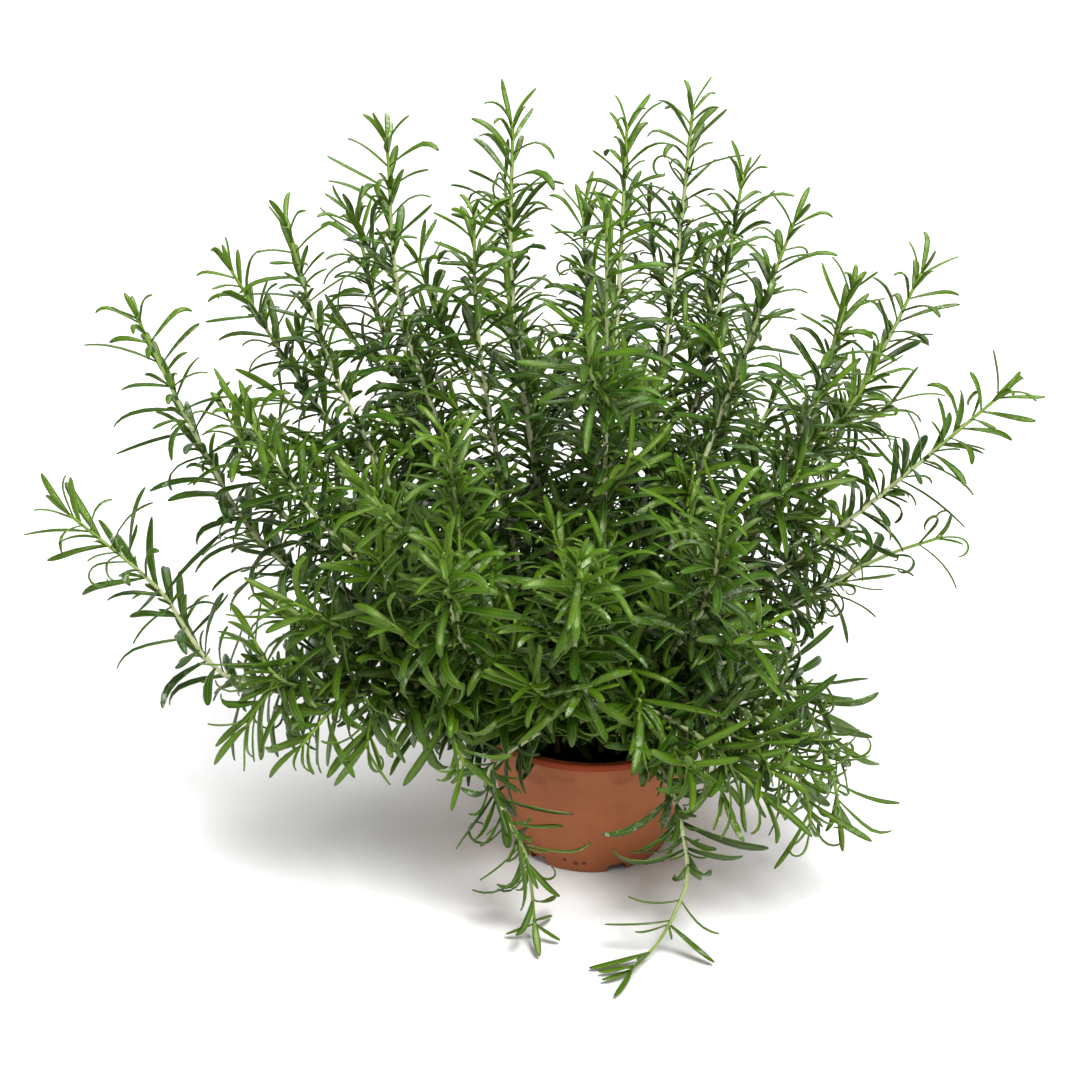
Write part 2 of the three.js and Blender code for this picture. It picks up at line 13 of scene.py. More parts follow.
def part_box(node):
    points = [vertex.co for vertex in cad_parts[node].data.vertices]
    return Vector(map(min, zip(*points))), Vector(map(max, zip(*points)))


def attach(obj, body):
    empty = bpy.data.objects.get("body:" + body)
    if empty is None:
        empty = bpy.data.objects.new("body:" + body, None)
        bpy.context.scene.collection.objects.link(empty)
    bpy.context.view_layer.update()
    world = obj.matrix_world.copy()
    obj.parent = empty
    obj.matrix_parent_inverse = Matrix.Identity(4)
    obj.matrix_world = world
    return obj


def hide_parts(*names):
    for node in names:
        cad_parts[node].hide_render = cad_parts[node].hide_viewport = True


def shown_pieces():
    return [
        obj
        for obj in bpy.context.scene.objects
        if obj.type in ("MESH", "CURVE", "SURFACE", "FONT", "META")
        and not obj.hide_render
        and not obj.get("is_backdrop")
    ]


startTime = time.time()
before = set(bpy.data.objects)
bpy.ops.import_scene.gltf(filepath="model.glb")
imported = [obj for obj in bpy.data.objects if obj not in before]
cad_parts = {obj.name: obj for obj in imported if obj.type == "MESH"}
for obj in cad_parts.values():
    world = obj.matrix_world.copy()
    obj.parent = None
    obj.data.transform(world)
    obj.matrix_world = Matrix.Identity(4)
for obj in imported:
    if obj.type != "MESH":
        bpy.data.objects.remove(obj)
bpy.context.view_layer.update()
mm = 0.001   # the plant is worked out in millimetres and meshed in metres


def report(stage):
    print(f"{time.time() - startTime:6.1f} s  {stage}")


def addObject(name, data):
    made = bpy.data.objects.new(name, data)
    bpy.context.collection.objects.link(made)
    return made


def meshOf(name, shape):
    mesh = bpy.data.meshes.new(name)
    shape.to_mesh(mesh)
    shape.free()
    return mesh


def keepNumbers(mesh, name, values):
    # three numbers for each point, which a finish reads under a name
    kept = mesh.attributes.new(name, "FLOAT_VECTOR", "POINT")
    kept.data.foreach_set("vector", np.asarray(values, dtype=np.float32).ravel())


# Camera: it looks down on the plant as the photo does
view = dict(
    target=(-25.6, 0, 165.2),
    distance=1343,
    elevation=28,
    lens=93.83,
    sensor=36,
)


def makeCamera():
    data = bpy.data.cameras.new("camera")
    data.lens = view["lens"]
    data.sensor_width = view["sensor"]
    camera = addObject("camera", data)
    tilt = radians(view["elevation"])
    back = Vector((0, -cos(tilt), sin(tilt))) * view["distance"]
    camera.location = (Vector(view["target"]) + back) * mm
    camera.rotation_euler = (pi / 2 - tilt, 0, 0)
    bpy.context.scene.camera = camera


# Shader maths: a wire is a node's output that can take part in sums
class Wire:
    def __init__(self, kit, socket):
        self.kit = kit
        self.socket = socket

    def maths(self, operation, first, second):
        return self.kit.node("ShaderNodeMath", {"operation": operation}, {0: first, 1: second})

    def __add__(self, other):
        return self.maths("ADD", self, other)
    __radd__ = __add__

    def __sub__(self, other):
        return self.maths("SUBTRACT", self, other)

    def __rsub__(self, other):
        return self.maths("SUBTRACT", other, self)

    def __mul__(self, other):
        return self.maths("MULTIPLY", self, other)
    __rmul__ = __mul__


class Finish:
    # one procedural material, with its constants set straight on the shader
    def __init__(self, name, **constants):
        self.material = bpy.data.materials.new(name)
        self.material.use_nodes = True
        self.tree = self.material.node_tree
        self.shader = self.tree.nodes["Principled BSDF"]
        for socket, value in constants.items():
            self.shader.inputs[socket.replace("_", " ")].default_value = value

    def put(self, socket, value):
        if isinstance(value, Wire):
            self.tree.links.new(value.socket, socket)
        else:
            socket.default_value = value

    def node(self, kind, settings, inputs, output=0):
        made = self.tree.nodes.new(kind)
        for key, value in settings.items():
            setattr(made, key, value)
        for key, value in inputs.items():
            self.put(made.inputs[key], value)
        return Wire(self, made.outputs[output])

    def feed(self, **wires):
        for socket, value in wires.items():
            self.put(self.shader.inputs[socket.replace("_", " ")], value)

    def blend(self, mask, first, second):
        return self.node("ShaderNodeMix", {"data_type": "RGBA"}, {0: mask, 6: first, 7: second}, 2)

    def soften(self, value, low, high):
        # 0 below low, 1 above high and smooth between them
        settings = {"interpolation_type": "SMOOTHSTEP"}
        return self.node("ShaderNodeMapRange", settings, {"Value": value, "From Min": low, "From Max": high})

    def place(self):
        return self.node("ShaderNodeTexCoord", {}, {}, 3)

    def noise(self, scale, detail, rough=0.5):
        inputs = {"Vector": self.place(), "Scale": scale, "Detail": detail, "Roughness": rough}
        return self.node("ShaderNodeTexNoise", {}, inputs)

    def parts(self, name):
        # the three numbers that the mesh keeps under a name
        kept = self.node("ShaderNodeAttribute", {"attribute_name": name}, {}, 1)
        return [self.node("ShaderNodeSeparateXYZ", {}, {0: kept}, i) for i in range(3)]

    def bump(self, height, strength, distance):
        inputs = {"Height": height, "Strength": strength, "Distance": distance}
        return self.node("ShaderNodeBump", {}, inputs)


def shades(**screenColours):
    # colours as they look on screen, 0 to 255, made linear
    return {name: tuple(((c / 255 + 0.055) / 1.055) ** 2.4 for c in colour) + (1.0,)
            for name, colour in screenColours.items()}


# the pale frosty leaf colour is a painted sheen, mostly on the upper faces
leafColours = shades(
    old=(16, 48, 0), fresh=(48, 88, 4), tip=(84, 118, 12), dull=(44, 72, 14), under=(70, 102, 26),
    rib=(116, 144, 52), frost=(188, 204, 176), point=(30, 38, 10),
)
stemColours = shades(green=(112, 142, 40), pale=(204, 208, 164), woody=(148, 132, 96))
# the dusky pot colour serves both real smudges and painted shade, and the lip's colour is painted shade
potColours = shades(
    wall=(158, 92, 56), warm=(170, 98, 58), dusk=(130, 74, 42), lip=(156, 62, 26), pit=(70, 34, 20),
)
soilColours = shades(damp=(22, 17, 13), dry=(58, 44, 33), fleck=(120, 100, 78))


def makeLeafFinish():
    # blade: share along the leaf, place across it from -1 to 1, and 1 on the underside
    # growth: a random tone for each leaf, how young it is, and a draw for how much painted sheen it gets
    leaf = Finish("rosemary_leaf", Specular_IOR_Level=0.42, Specular_Tint=(0.95, 1, 0.6, 1))
    along, across, under = leaf.parts("blade")
    tone, young, grey = leaf.parts("growth")
    patches = leaf.noise(240, 3)
    grain = leaf.noise(1300, 2)
    colour = leaf.blend(tone, leafColours["old"], leafColours["fresh"])
    colour = leaf.blend(young * 0.7, colour, leafColours["tip"])
    colour = leaf.blend(leaf.soften(patches, 0.45, 0.75) * 0.4, colour, leafColours["dull"])
    side = leaf.node("ShaderNodeMath", {"operation": "ABSOLUTE"}, {0: across})
    rib = 1 - leaf.soften(side, 0.02, 0.16)
    rim = leaf.soften(side, 0.74, 0.96)
    # the midrib and the edges take a paler green; along the edges this is partly a paler margin and partly a
    # painted highlight
    colour = leaf.blend(rib * 0.3 + rim * 0.6, colour, leafColours["rib"])
    # painted sheen: a pale frosty highlight in patches on some leaves
    frost = leaf.soften(patches + grain * 0.7, 0.88, 1.1) * leaf.soften(grey, 0.78, 0.94)
    colour = leaf.blend(frost * 0.6, colour, leafColours["frost"])
    colour = leaf.blend(under * 0.7, colour, leafColours["under"])
    ends = leaf.soften(along + patches * 0.04, 0.965, 1.015)
    colour = leaf.blend(ends * 0.9, colour, leafColours["point"])
    rough = 0.2 + patches * 0.24 + under * 0.3
    relief = grain * 0.8 + patches
    leaf.feed(Base_Color=colour, Roughness=rough, Normal=leaf.bump(relief, 0.6, 0.0005))
    return leaf.material


def makeStemFinish():
    stem = Finish("rosemary_stem", Specular_IOR_Level=0.35)
    # growth: here its second number is how young the stem is, and its third how woody
    _, young, woody = stem.parts("growth")
    streaks = stem.noise(420, 4)
    fuzz = stem.noise(2200, 2)
    colour = stem.blend(young, stemColours["pale"], stemColours["green"])
    colour = stem.blend(stem.soften(streaks, 0.4, 0.7) * 0.35, colour, stemColours["green"])
    colour = stem.blend(stem.soften(woody + streaks * 0.3, 0.45, 0.95), colour, stemColours["woody"])
    relief = streaks + fuzz * 0.5
    stem.feed(Base_Color=colour, Roughness=0.5 + streaks * 0.25, Normal=stem.bump(relief, 0.5, 0.0004))
    return stem.material


def makePotFinish():
    # wall: 1 on the lip, which gets painted shade, and the height in metres
    clay = Finish("moulded_pot", Specular_IOR_Level=0.25)
    lip, height, _ = clay.parts("wall")
    clouds = clay.noise(22, 4, 0.6)
    smudge = clay.noise(70, 5, 0.65)
    grain = clay.noise(1400, 2)
    dusk = potColours["dusk"]
    colour = clay.blend(clay.soften(clouds, 0.35, 0.65), potColours["wall"], potColours["warm"])
    colour = clay.blend(clay.soften(smudge, 0.52, 0.75) * 0.45, colour, dusk)
    # painted shade: darker in a band below the lip and a little at the foot
    band = clay.soften(height, 0.056, 0.059) * (1 - clay.soften(height, 0.064, 0.067))
    colour = clay.blend(band * clay.soften(smudge, 0.44, 0.6) * 0.4, colour, dusk)
    colour = clay.blend(clay.soften(height, 0, 0.02) * -0.3 + 0.3, colour, dusk)
    # the lip is painted a darker red-orange: painted shade
    colour = clay.blend(lip, colour, potColours["lip"])
    for x, z, size in pot["dents"]:
        y = -sqrt(wallRadius(z) ** 2 - x * x)
        inputs = {0: clay.place(), 1: (x * mm, y * mm, z * mm)}
        far = clay.node("ShaderNodeVectorMath", {"operation": "DISTANCE"}, inputs, 1)
        dent = 1 - clay.soften(far + grain * 0.001, size * 1.1 * mm, size * 1.7 * mm)
        colour = clay.blend(dent * 0.8, colour, potColours["pit"])
    rough = 0.5 + smudge * 0.2
    clay.feed(Base_Color=colour, Roughness=rough, Normal=clay.bump(grain * 0.4 + smudge, 0.25, 0.0004))
    return clay.material


def makeSoilFinish():
    peat = Finish("potting_mix", Specular_IOR_Level=0.25)
    crumbs = peat.noise(300, 6, 0.7)
    flecks = peat.noise(900, 3)
    colour = peat.blend(peat.soften(crumbs, 0.35, 0.75), soilColours["damp"], soilColours["dry"])
    colour = peat.blend(peat.soften(flecks, 0.66, 0.74) * 0.6, colour, soilColours["fleck"])
    relief = crumbs + flecks * 0.5
    peat.feed(Base_Color=colour, Roughness=0.78 + crumbs * 0.2, Normal=peat.bump(relief, 0.9, 0.001))
    return peat.material


# The pot's and the soil's sizes come from the frame
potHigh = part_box("pot")[1]
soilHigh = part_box("soil")[1]
pot = dict(
    height=round(potHigh[2] / mm, 3),
    rimRadius=round(potHigh[0] / mm, 3),
    soilTop=round(soilHigh[2] / mm, 3),
    lipDepth=4,
    lipOverhang=2.4,
    baseRadius=39,
    wall=2,
    floor=3,
    hollow=0.9,          # under the floor, inside a narrow foot
    footWidth=4,
    baseEdge=1.5,
    lipEdge=0.9,
    drainHoles=6,
    drainWidth=10,
    drainHeight=5,
    drainReach=9,
    drainEdge=1.2,
    firstDrainAngle=-72,
    sharpAngle=35,
    dents=((-13.5, 8, 1.1), (-8, 6.6, 1.4), (-4, 7.2, 1.2)),   # across, height and size
    sides=144,
)

# How the plant grows, in millimetres and degrees: the same rules as its solids follow. Pairs of
# numbers are the least and the most, or the value at the tip and the value at the foot
growth = dict(
    seed=20261,
    # roots
    fitGap=0.3, holeDepth=14, collarHeight=5,
    rootReach=0.24, rootLeast=7, rootMost=44, rootSpacing=8.2, rootRounds=200,
    # stems
    riseShare=0.4, riseLift=0.1, stemFoot=2.1, stepLength=40,
    stemGap=5.5, stemTries=13, stemShift=4,
    # side shoots
    shootFoot=1.2, shootLength=62, shootSizes=(0.7, 1.15), shootPlaces=(0.42, 0.72),
    shootAngle=48, shootLift=0.35, shootTries=8, stemPerShoot=165, goldenTurn=137.5,
    # leaf pairs, counted from the tip, and those that the solids have too
    pairSpacing=6.5, tipCrowding=1.5, tipBare=1.5, keptPairs=5, firstKeptPair=3,
    bareLength=50, bareShare=0.4, shootBare=12,
    # leaves, and how far they keep from each other, the pot and the surface
    leafLength=34, leafWidth=4.4, youngReach=20, oldReach=160, tipReach=60,
    leafGap=5, leafTurn=22, leafTries=7, probes=(0.15, 0.5, 1),
    potGap=2.2, surfaceGap=1.6, layHeight=3.2, layBend=3,
    # the space before the front of the rim, which stays clear
    openSides=(-30, 22), openStart=50, openHeight=6, openRise=0.5,
    # how leaves change with age, with their place and with height, and by chance
    ageCurve=0.75, spreadByAge=(20, 42), spreadByPlace=(0, 28), leastSpread=12,
    bendByAge=(6, 18), lengthByAge=(0.6, 1), widthByAge=(0.65, 0.9), widthByPlace=(1, 1.15),
    backPull=0.7, downPull=0.5, lowHeight=60, highHeight=300,
    lengthByHeight=(0.8, 1.18, 0.9), widthByHeight=(1, 1.15, 0.92),
    turnScatter=(-20, 20), spreadScatter=(-14, 20), bendScatter=(-3, 32),
    lengthScatter=(0.62, 1.14), widthScatter=(0.88, 1.14),
)

# What is finer than the solids
fine = dict(
    pathParts=8,
    # more shoots
    shootEvery=62, shootLength=34, shootPlaces=(0.22, 0.82), shootSizes=(0.6, 1.3), shootBare=6,
    # the pairs between
    pairScatter=(-1.3, 1.3), pairGap=2.6, leastGap=1.3, bareLength=26, bareShare=0.2,
    # thin of leaf near the tip: two stems by the first length and one by the second
    sparseReach=(62, 34), sparseEvery=5,
    # short young leaves in the axils: their chance, less at the flanks and at the crown
    axilShare=0.76, axilReach=24, middle=-20, flankReach=(105, 150), flankShare=0.42,
    crownReach=(210, 300), crownShare=0.5, buds=(2, 3), bushyHeight=170,
    budTurn=(12, 60), budSpread=(16, 64), budLength=(0.22, 0.7), budWidth=0.6, budYoung=0.45,
    budGap=1.6, budLeastGap=0.9,
    # a leaf's hook, sway and twist; strong hooks and curls come above these draws, and curls
    # sooner low at the right, less below curlHeight and least above it
    hook=(-30, 30), hookStart=(0.35, 0.65), hookCurve=1.4, strongAbove=0.62, strongHook=(25, 90),
    curlAbove=(0.66, 0.93, 0.98), curlHeight=150, curlCorner=(92, 165), curl=(150, 290),
    curlStart=0.3, curlWidth=0.55, curlLeast=120, sway=(-22, 22), twist=(-45, 45),
    layHook=(-10, 0), layTwist=0.2, lowLeaf=40, lowHook=25,
    # tones: mostly old, and darker low at the right as painted shade
    toneCurve=1.5, darkCorner=(50, 150), darkTone=0.4,
    # meshes
    leafThickness=0.95, thinEnds=0.55, shortLeaf=14,
    stemSides=8, stemTip=0.78, ringSpacing=3, stemSquare=(0.82, 0.1), jointSwell=0.16,
    jointReach=1.6, woodyReach=90, youngStem=90, youngMost=1.1,
)

# Where each stem goes: points that it passes through after the soil, the last one being its tip
leftStems = [
    [(-75, -5, 98), (-170, -10, 92), (-208, -15, 148), (-246, -20, 190)],
    [(-95, -4, 122), (-154, -6, 163), (-183, -10, 220), (-208, -14, 287)],
    [(-85, 10, 160), (-138, 25, 235), (-170, 34, 290)],
    [(-75, 0, 150), (-120, 4, 248), (-140, 0, 326)],
    [(-60, 35, 150), (-97, 55, 235), (-114, 78, 298)],
    [(-50, 6, 160), (-88, 13, 270), (-95, 20, 361)],
    [(-80, -24, 135), (-128, -30, 192), (-160, -40, 253)],
    [(-90, -30, 128), (-142, -52, 126), (-163, -68, 102)],
    [(-75, -38, 125), (-110, -55, 145), (-138, -72, 172)],
    [(-70, -45, 112), (-114, -66, 117), (-137, -82, 100)],
    [(-70, 15, 120), (-126, 25, 128), (-166, 30, 150)],
    [(-85, 40, 125), (-150, 70, 160)],
]
topStems = [
    [(-35, -8, 150), (-53, -12, 270), (-55, -20, 340)],
    [(-22, 5, 160), (-38, 15, 280), (-38, 30, 364)],
    [(6, 8, 170), (11, 18, 290), (14, 30, 363)],
    [(0, 30, 150), (-2, 60, 240), (-5, 88, 298)],
    [(2, -30, 120), (4, -46, 240), (3, -52, 353)],
    [(22, 25, 150), (37, 45, 270), (46, 70, 358)],
    [(35, 44, 150), (60, 70, 250), (72, 88, 317)],
    [(30, -2, 140), (65, 2, 250), (90, 10, 324)],
]
rightStems = [
    [(50, -10, 140), (92, -17, 225), (113, -30, 308)],
    [(60, 12, 140), (125, 26, 232), (154, 40, 287)],
    [(65, 2, 125), (125, 2, 178), (190, 0, 243)],
    [(70, 8, 108), (136, 24, 140), (172, 36, 148)],
    [(62, -26, 112), (96, -44, 104), (111, -62, 78), (116, -68, 58)],
    [(70, -5, 105), (102, -20, 98), (118, -42, 70)],
    [(45, -50, 112), (78, -70, 106), (97, -84, 80), (101, -88, 60)],
    [(32, -40, 120), (50, -75, 175), (54, -103, 238)],
]
frontStems = [
    [(-40, -55, 115), (-62, -90, 165), (-67, -124, 225)],
    [(-35, -38, 125), (-58, -68, 190), (-66, -90, 265)],
    [(-8, -60, 115), (-10, -98, 165), (-9, -138, 228)],
    [(5, -45, 118), (2, -78, 160), (3, -95, 208)],
    [(-45, -55, 112), (-66, -78, 128), (-60, -98, 100)],
    [(-60, -45, 112), (-98, -68, 122), (-106, -86, 102)],
    [(12, -62, 108), (20, -82, 126), (18, -92, 114)],
    [(28, -62, 110), (46, -84, 114), (58, -100, 84)],
]
trailingStems = [
    [(22, -62, 92), (37, -86, 74), (43, -103, 46), (38, -106, 26), (29, -110, 9), (16, -124, 4)],
    [(-27, -62, 96), (-49, -78, 85), (-43, -89, 70), (-34, -93, 54), (-30, -95, 34), (-28, -97, 10)],
]
backStems = [
    [(-60, 50, 120), (-100, 110, 175)],
    [(-20, 55, 130), (-35, 120, 215)],
    [(15, 60, 120), (25, 140, 180)],
    [(40, 50, 125), (80, 115, 215)],
    [(60, 35, 120), (130, 85, 190)],
    [(-25, 62, 105), (-60, 130, 120)],
    [(35, 62, 105), (60, 135, 115)],
    [(75, 30, 105), (130, 60, 110)],
]
sideStems = [
    [(38, -54, 112), (66, -80, 110), (80, -98, 80)],
    [(44, -46, 112), (74, -66, 106), (92, -77, 76)],
    [(-88, -30, 118), (-132, -50, 118), (-151, -59, 130), (-158, -62, 148)],
    [(-92, -14, 138), (-142, -18, 184), (-169, -22, 242)],
]
routes = leftStems + topStems + rightStems + frontStems + trailingStems + backStems + sideStems
# the outer stems at both sides and the trailing ones have no side shoots
loneStems = leftStems[:2] + [leftStems[6]] + leftStems[10:] + rightStems[2:6] + trailingStems
loneStems.append(sideStems[3])
upward = np.array((0.0, 0.0, 1.0))


def unit(vector):
    return vector / sqrt(vector @ vector)


def cross(a, b):
    return np.array((a[1] * b[2] - a[2] * b[1], a[2] * b[0] - a[0] * b[2], a[0] * b[1] - a[1] * b[0]))


def draw(*keys):
    # an even random number from 0 to 1 that belongs to its keys, the last of which says what it is for
    mixed = growth["seed"]
    for key in keys:
        mixed = ((mixed ^ (key + 1)) * 2654435761) & 0xFFFFFFFF
        mixed ^= mixed >> 15
    mixed = ((mixed ^ (mixed >> 13)) * 2246822519) & 0xFFFFFFFF
    return (mixed ^ (mixed >> 16)) / 4294967296


def between(low, high, share):
    return low + (high - low) * share


def wallRadius(height):
    wide = pot["rimRadius"] - pot["lipOverhang"]
    return between(pot["baseRadius"], wide, height / (pot["height"] - pot["lipDepth"]))


def runAlong(points):
    # how far each point is along a line through them
    return np.concatenate(([0], np.cumsum(np.linalg.norm(np.diff(points, axis=0), axis=1))))


def placeRoots():
    # each stem is rooted on the side that it leans to, and the roots push each other apart
    roots = []
    for route in routes:
        x, y = route[-1][:2]
        far = hypot(x, y)
        reach = min(max(far * growth["rootReach"], growth["rootLeast"]), growth["rootMost"])
        roots.append([x / far * reach, y / far * reach])
    for _ in range(growth["rootRounds"]):
        for i, first in enumerate(roots):
            for second in roots[i + 1:]:
                x = second[0] - first[0]
                y = second[1] - first[1]
                far = sqrt(x * x + y * y)
                if far < growth["rootSpacing"]:
                    push = (growth["rootSpacing"] - far) / (2 * far)
                    second[0] += x * push
                    second[1] += y * push
                    first[0] -= x * push
                    first[1] -= y * push
        for root in roots:
            far = hypot(*root)
            if far > growth["rootMost"]:
                root[0] *= growth["rootMost"] / far
                root[1] *= growth["rootMost"] / far
    return roots


class Path:
    # a smooth curve through points; its straight steps have pathParts parts each
    def __init__(self, points, foot=None):
        points = [np.array(point, dtype=float) for point in points]
        parts = fine["pathParts"]
        self.first = 0 if foot is None else 1
        smooth = [between(foot, points[0], k / parts) for k in range(parts * self.first)] + [points[0]]
        for i, (start, end) in enumerate(zip(points, points[1:])):
            before = points[i - 1] if i > 0 else 2 * start - end
            after = points[i + 2] if i + 2 < len(points) else 2 * end - start
            pullStart = (end - before) / 2
            pullEnd = (after - start) / 2
            reach = end - start
            count = max(1, int(sqrt(reach @ reach) / growth["stepLength"] + 0.5))
            for k in range(1, count * parts + 1):
                u = k / (count * parts)
                point = (2 * u ** 3 - 3 * u ** 2 + 1) * start + (u ** 3 - 2 * u ** 2 + u) * pullStart
                point = point + (3 * u ** 2 - 2 * u ** 3) * end + (u ** 3 - u ** 2) * pullEnd
                smooth.append(point)
        self.smooth = np.array(smooth)
        self.steps = self.smooth[::parts]
        self.run = runAlong(self.steps)
        self.length = self.run[-1]
        self.side = unit(cross(upward, self.steps[-1] - points[0]))

    def turn(self, along):
        side = unit(self.side - along * (self.side @ along))
        return side, cross(side, along)

    def place(self, distance):
        i = min(max(int(np.searchsorted(self.run, distance)), 1), len(self.run) - 1)
        share = (distance - self.run[i - 1]) / (self.run[i] - self.run[i - 1])
        along = unit(self.steps[i] - self.steps[i - 1])
        point = between(self.steps[i - 1], self.steps[i], share)
        return point, i - 1 + share, along, *self.turn(along)

    def onCurve(self, step):
        # the smooth curve's point at a step and a share of the next
        where = min(max(step * fine["pathParts"], 0), len(self.smooth) - 1.001)
        low = int(where)
        return between(self.smooth[low], self.smooth[low + 1], where - low)


class Room:
    # every straight piece so far, for keeping new ones clear of them
    def __init__(self):
        most = 40000
        self.starts, self.ends, self.middles = np.zeros((3, most, 3))
        self.halves = np.zeros(most)
        self.stems, self.pairs = np.zeros((2, most), dtype=int)
        self.count = 0

    def add(self, start, end, stem, pair=-1):
        n = self.count
        self.starts[n] = start
        self.ends[n] = end
        self.middles[n] = (start + end) / 2
        self.halves[n] = sqrt((end - start) @ (end - start)) / 2
        self.stems[n] = stem
        self.pairs[n] = pair
        self.count += 1

    def addPath(self, path, stem):
        for i in range(path.first + 1, len(path.steps)):
            self.add(path.steps[i - 1], path.steps[i], stem)

    def gap(self, a, b, stem, pair, enough):
        # the least distance from a straight piece to the others, or `enough` where all are far;
        # it may touch its own stem and pair, and without a pair all of its own stem
        first = b - a
        reach = enough + sqrt(first @ first) / 2
        apart = self.middles[: self.count] - (a + b) / 2
        near = np.flatnonzero(np.einsum("ij,ij->i", apart, apart) < (reach + self.halves[: self.count]) ** 2)
        other = self.stems[near] != stem
        if pair is not None:
            other |= (self.pairs[near] != -1) & (self.pairs[near] != pair)
        near = near[other]
        if not len(near):
            return enough
        c = self.starts[near]
        second = self.ends[near] - c
        offset = a - c
        firstSquare = first @ first
        secondSquare = (second ** 2).sum(1)
        mixed = second @ first
        firstOffset = offset @ first
        secondOffset = (second * offset).sum(1)
        slack = firstSquare * secondSquare - mixed * mixed
        s = np.clip((mixed * secondOffset - firstOffset * secondSquare) / np.maximum(slack, 1e-9), 0, 1)
        s = np.where(slack > 1e-9, s, 0)
        t = (mixed * s + secondOffset) / secondSquare
        held = np.clip(t, 0, 1)
        s = np.where(t == held, s, np.clip((mixed * held - firstOffset) / firstSquare, 0, 1))
        across = (a + first * s[:, None]) - (c + second * held[:, None])
        return sqrt((across ** 2).sum(1).min())


def clearOfPot(point):
    radius = hypot(point[0], point[1])
    if point[2] < growth["surfaceGap"]:
        return False
    if radius < pot["rimRadius"] - 2 * pot["wall"] - growth["potGap"]:
        return point[2] > pot["soilTop"] + growth["potGap"]
    outside = wallRadius(point[2]) + pot["lipOverhang"] + growth["potGap"]
    return point[2] > pot["height"] + growth["potGap"] or radius > outside


def hidesRim(point):
    # in the space before the rim, which only leaves rooted below it may cross
    x, y, z = point
    beyond = -y - growth["openStart"]
    top = pot["height"] + growth["openHeight"] + beyond * growth["openRise"]
    return growth["openSides"][0] < x < growth["openSides"][1] and beyond > 0 and z < top


def pathIsClear(path, room, stem):
    gap = growth["stemGap"]
    for i in range(path.first + 1, len(path.steps)):
        if room.gap(path.steps[i - 1], path.steps[i], stem, None, gap + 1) <= gap:
            return False
        if not clearOfPot(path.steps[i]):
            return False
    return True


def growStem(stem, root, room):
    # it is moved sideways until it is clear of the stems before it
    foot = np.array((*root, pot["soilTop"] - growth["holeDepth"] + growth["fitGap"]))
    collar = np.array((*root, pot["soilTop"] + growth["collarHeight"]))
    route = [np.array(point, dtype=float) for point in routes[stem]]
    rise = between(collar, route[0], growth["riseShare"])
    reach = route[0] - collar
    rise[2] += sqrt(reach @ reach) * growth["riseLift"]
    across = unit(np.array((-route[-1][1], route[-1][0], 0)))
    for attempt in range(growth["stemTries"]):
        shift = ceil(attempt / 2) * (growth["stemShift"] if attempt % 2 else -growth["stemShift"])
        points = [collar, rise + across * shift / 2]
        points += [point + across * shift for point in route[:-1]] + [route[-1]]
        path = Path(points, foot)
        if pathIsClear(path, room, stem):
            break
    room.addPath(path, stem)
    return path


def growShoots(stem, path, room):
    # side shoots leave the stem at an angle and turn up again
    shoots = []
    count = 0 if routes[stem] in loneStems else int(path.length / growth["stemPerShoot"])
    for i in range(count):
        share = between(*growth["shootPlaces"], (i + draw(stem, i, 11)) / count)
        size = growth["shootLength"] * between(*growth["shootSizes"], draw(stem, i, 12))
        shoot = turnShoot(stem, path, path.length * share, size, draw(stem, i, 13), room)
        if shoot:
            shoots.append(shoot)
    return shoots


def turnShoot(stem, path, distance, size, start, room):
    point, step, along, side, out = path.place(distance)
    lean = radians(growth["shootAngle"])
    for attempt in range(growth["shootTries"]):
        turn = radians(360 * start + attempt * growth["goldenTurn"])
        radial = side * cos(turn) + out * sin(turn)
        ahead = along * cos(lean) + radial * sin(lean)
        bendPoint = point + ahead * size / 2
        later = between(ahead, along, growth["shootLift"])
        later[2] += growth["shootLift"]
        tip = bendPoint + unit(later) * size / 2
        shoot = Path([point, bendPoint, tip])
        if pathIsClear(shoot, room, stem):
            room.addPath(shoot, stem)
            return shoot
    return None


def pairDistance(path, pair):
    crowded = growth["pairSpacing"] * pair * pair / (pair + growth["tipCrowding"])
    return path.length - growth["tipBare"] - crowded


def byHeight(sizes, height):
    # the sizes are those at the surface, at lowHeight and at highHeight
    return np.interp(height, (0, growth["lowHeight"], growth["highHeight"]), sizes)


def growLeaf(path, distance, pair, rank, keys):
    # pairs are counted from the shoot's tip; older leaves are longer and spread wider
    leaf = SimpleNamespace(keys=keys)
    fromTip = path.length - distance
    age = min(1, fromTip / growth["youngReach"])
    old = min(1, fromTip / growth["oldReach"])
    leaf.root, leaf.step, leaf.along, leaf.side, leaf.out = path.place(distance)
    leaf.turn = (pair + 2 * rank) * 90 + between(*growth["turnScatter"], draw(*keys, 1))
    aged = age ** growth["ageCurve"]
    usual = between(*growth["spreadByAge"], aged) + between(*growth["spreadByPlace"], old)
    leaf.spread = max(growth["leastSpread"], usual + between(*growth["spreadScatter"], draw(*keys, 2)))
    leaf.arch = between(*growth["bendByAge"], age) + between(*growth["bendScatter"], draw(*keys, 3))
    height = leaf.root[2]
    grown = between(*growth["lengthByAge"], aged) * byHeight(growth["lengthByHeight"], height)
    leaf.length = growth["leafLength"] * grown * between(*growth["lengthScatter"], draw(*keys, 4))
    broad = between(*growth["widthByAge"], age) * between(*growth["widthByPlace"], old)
    broad *= byHeight(growth["widthByHeight"], height)
    leaf.width = growth["leafWidth"] * broad * between(*growth["widthScatter"], draw(*keys, 5))
    leaf.young = 1 - min(1, fromTip / growth["tipReach"])
    return leaf


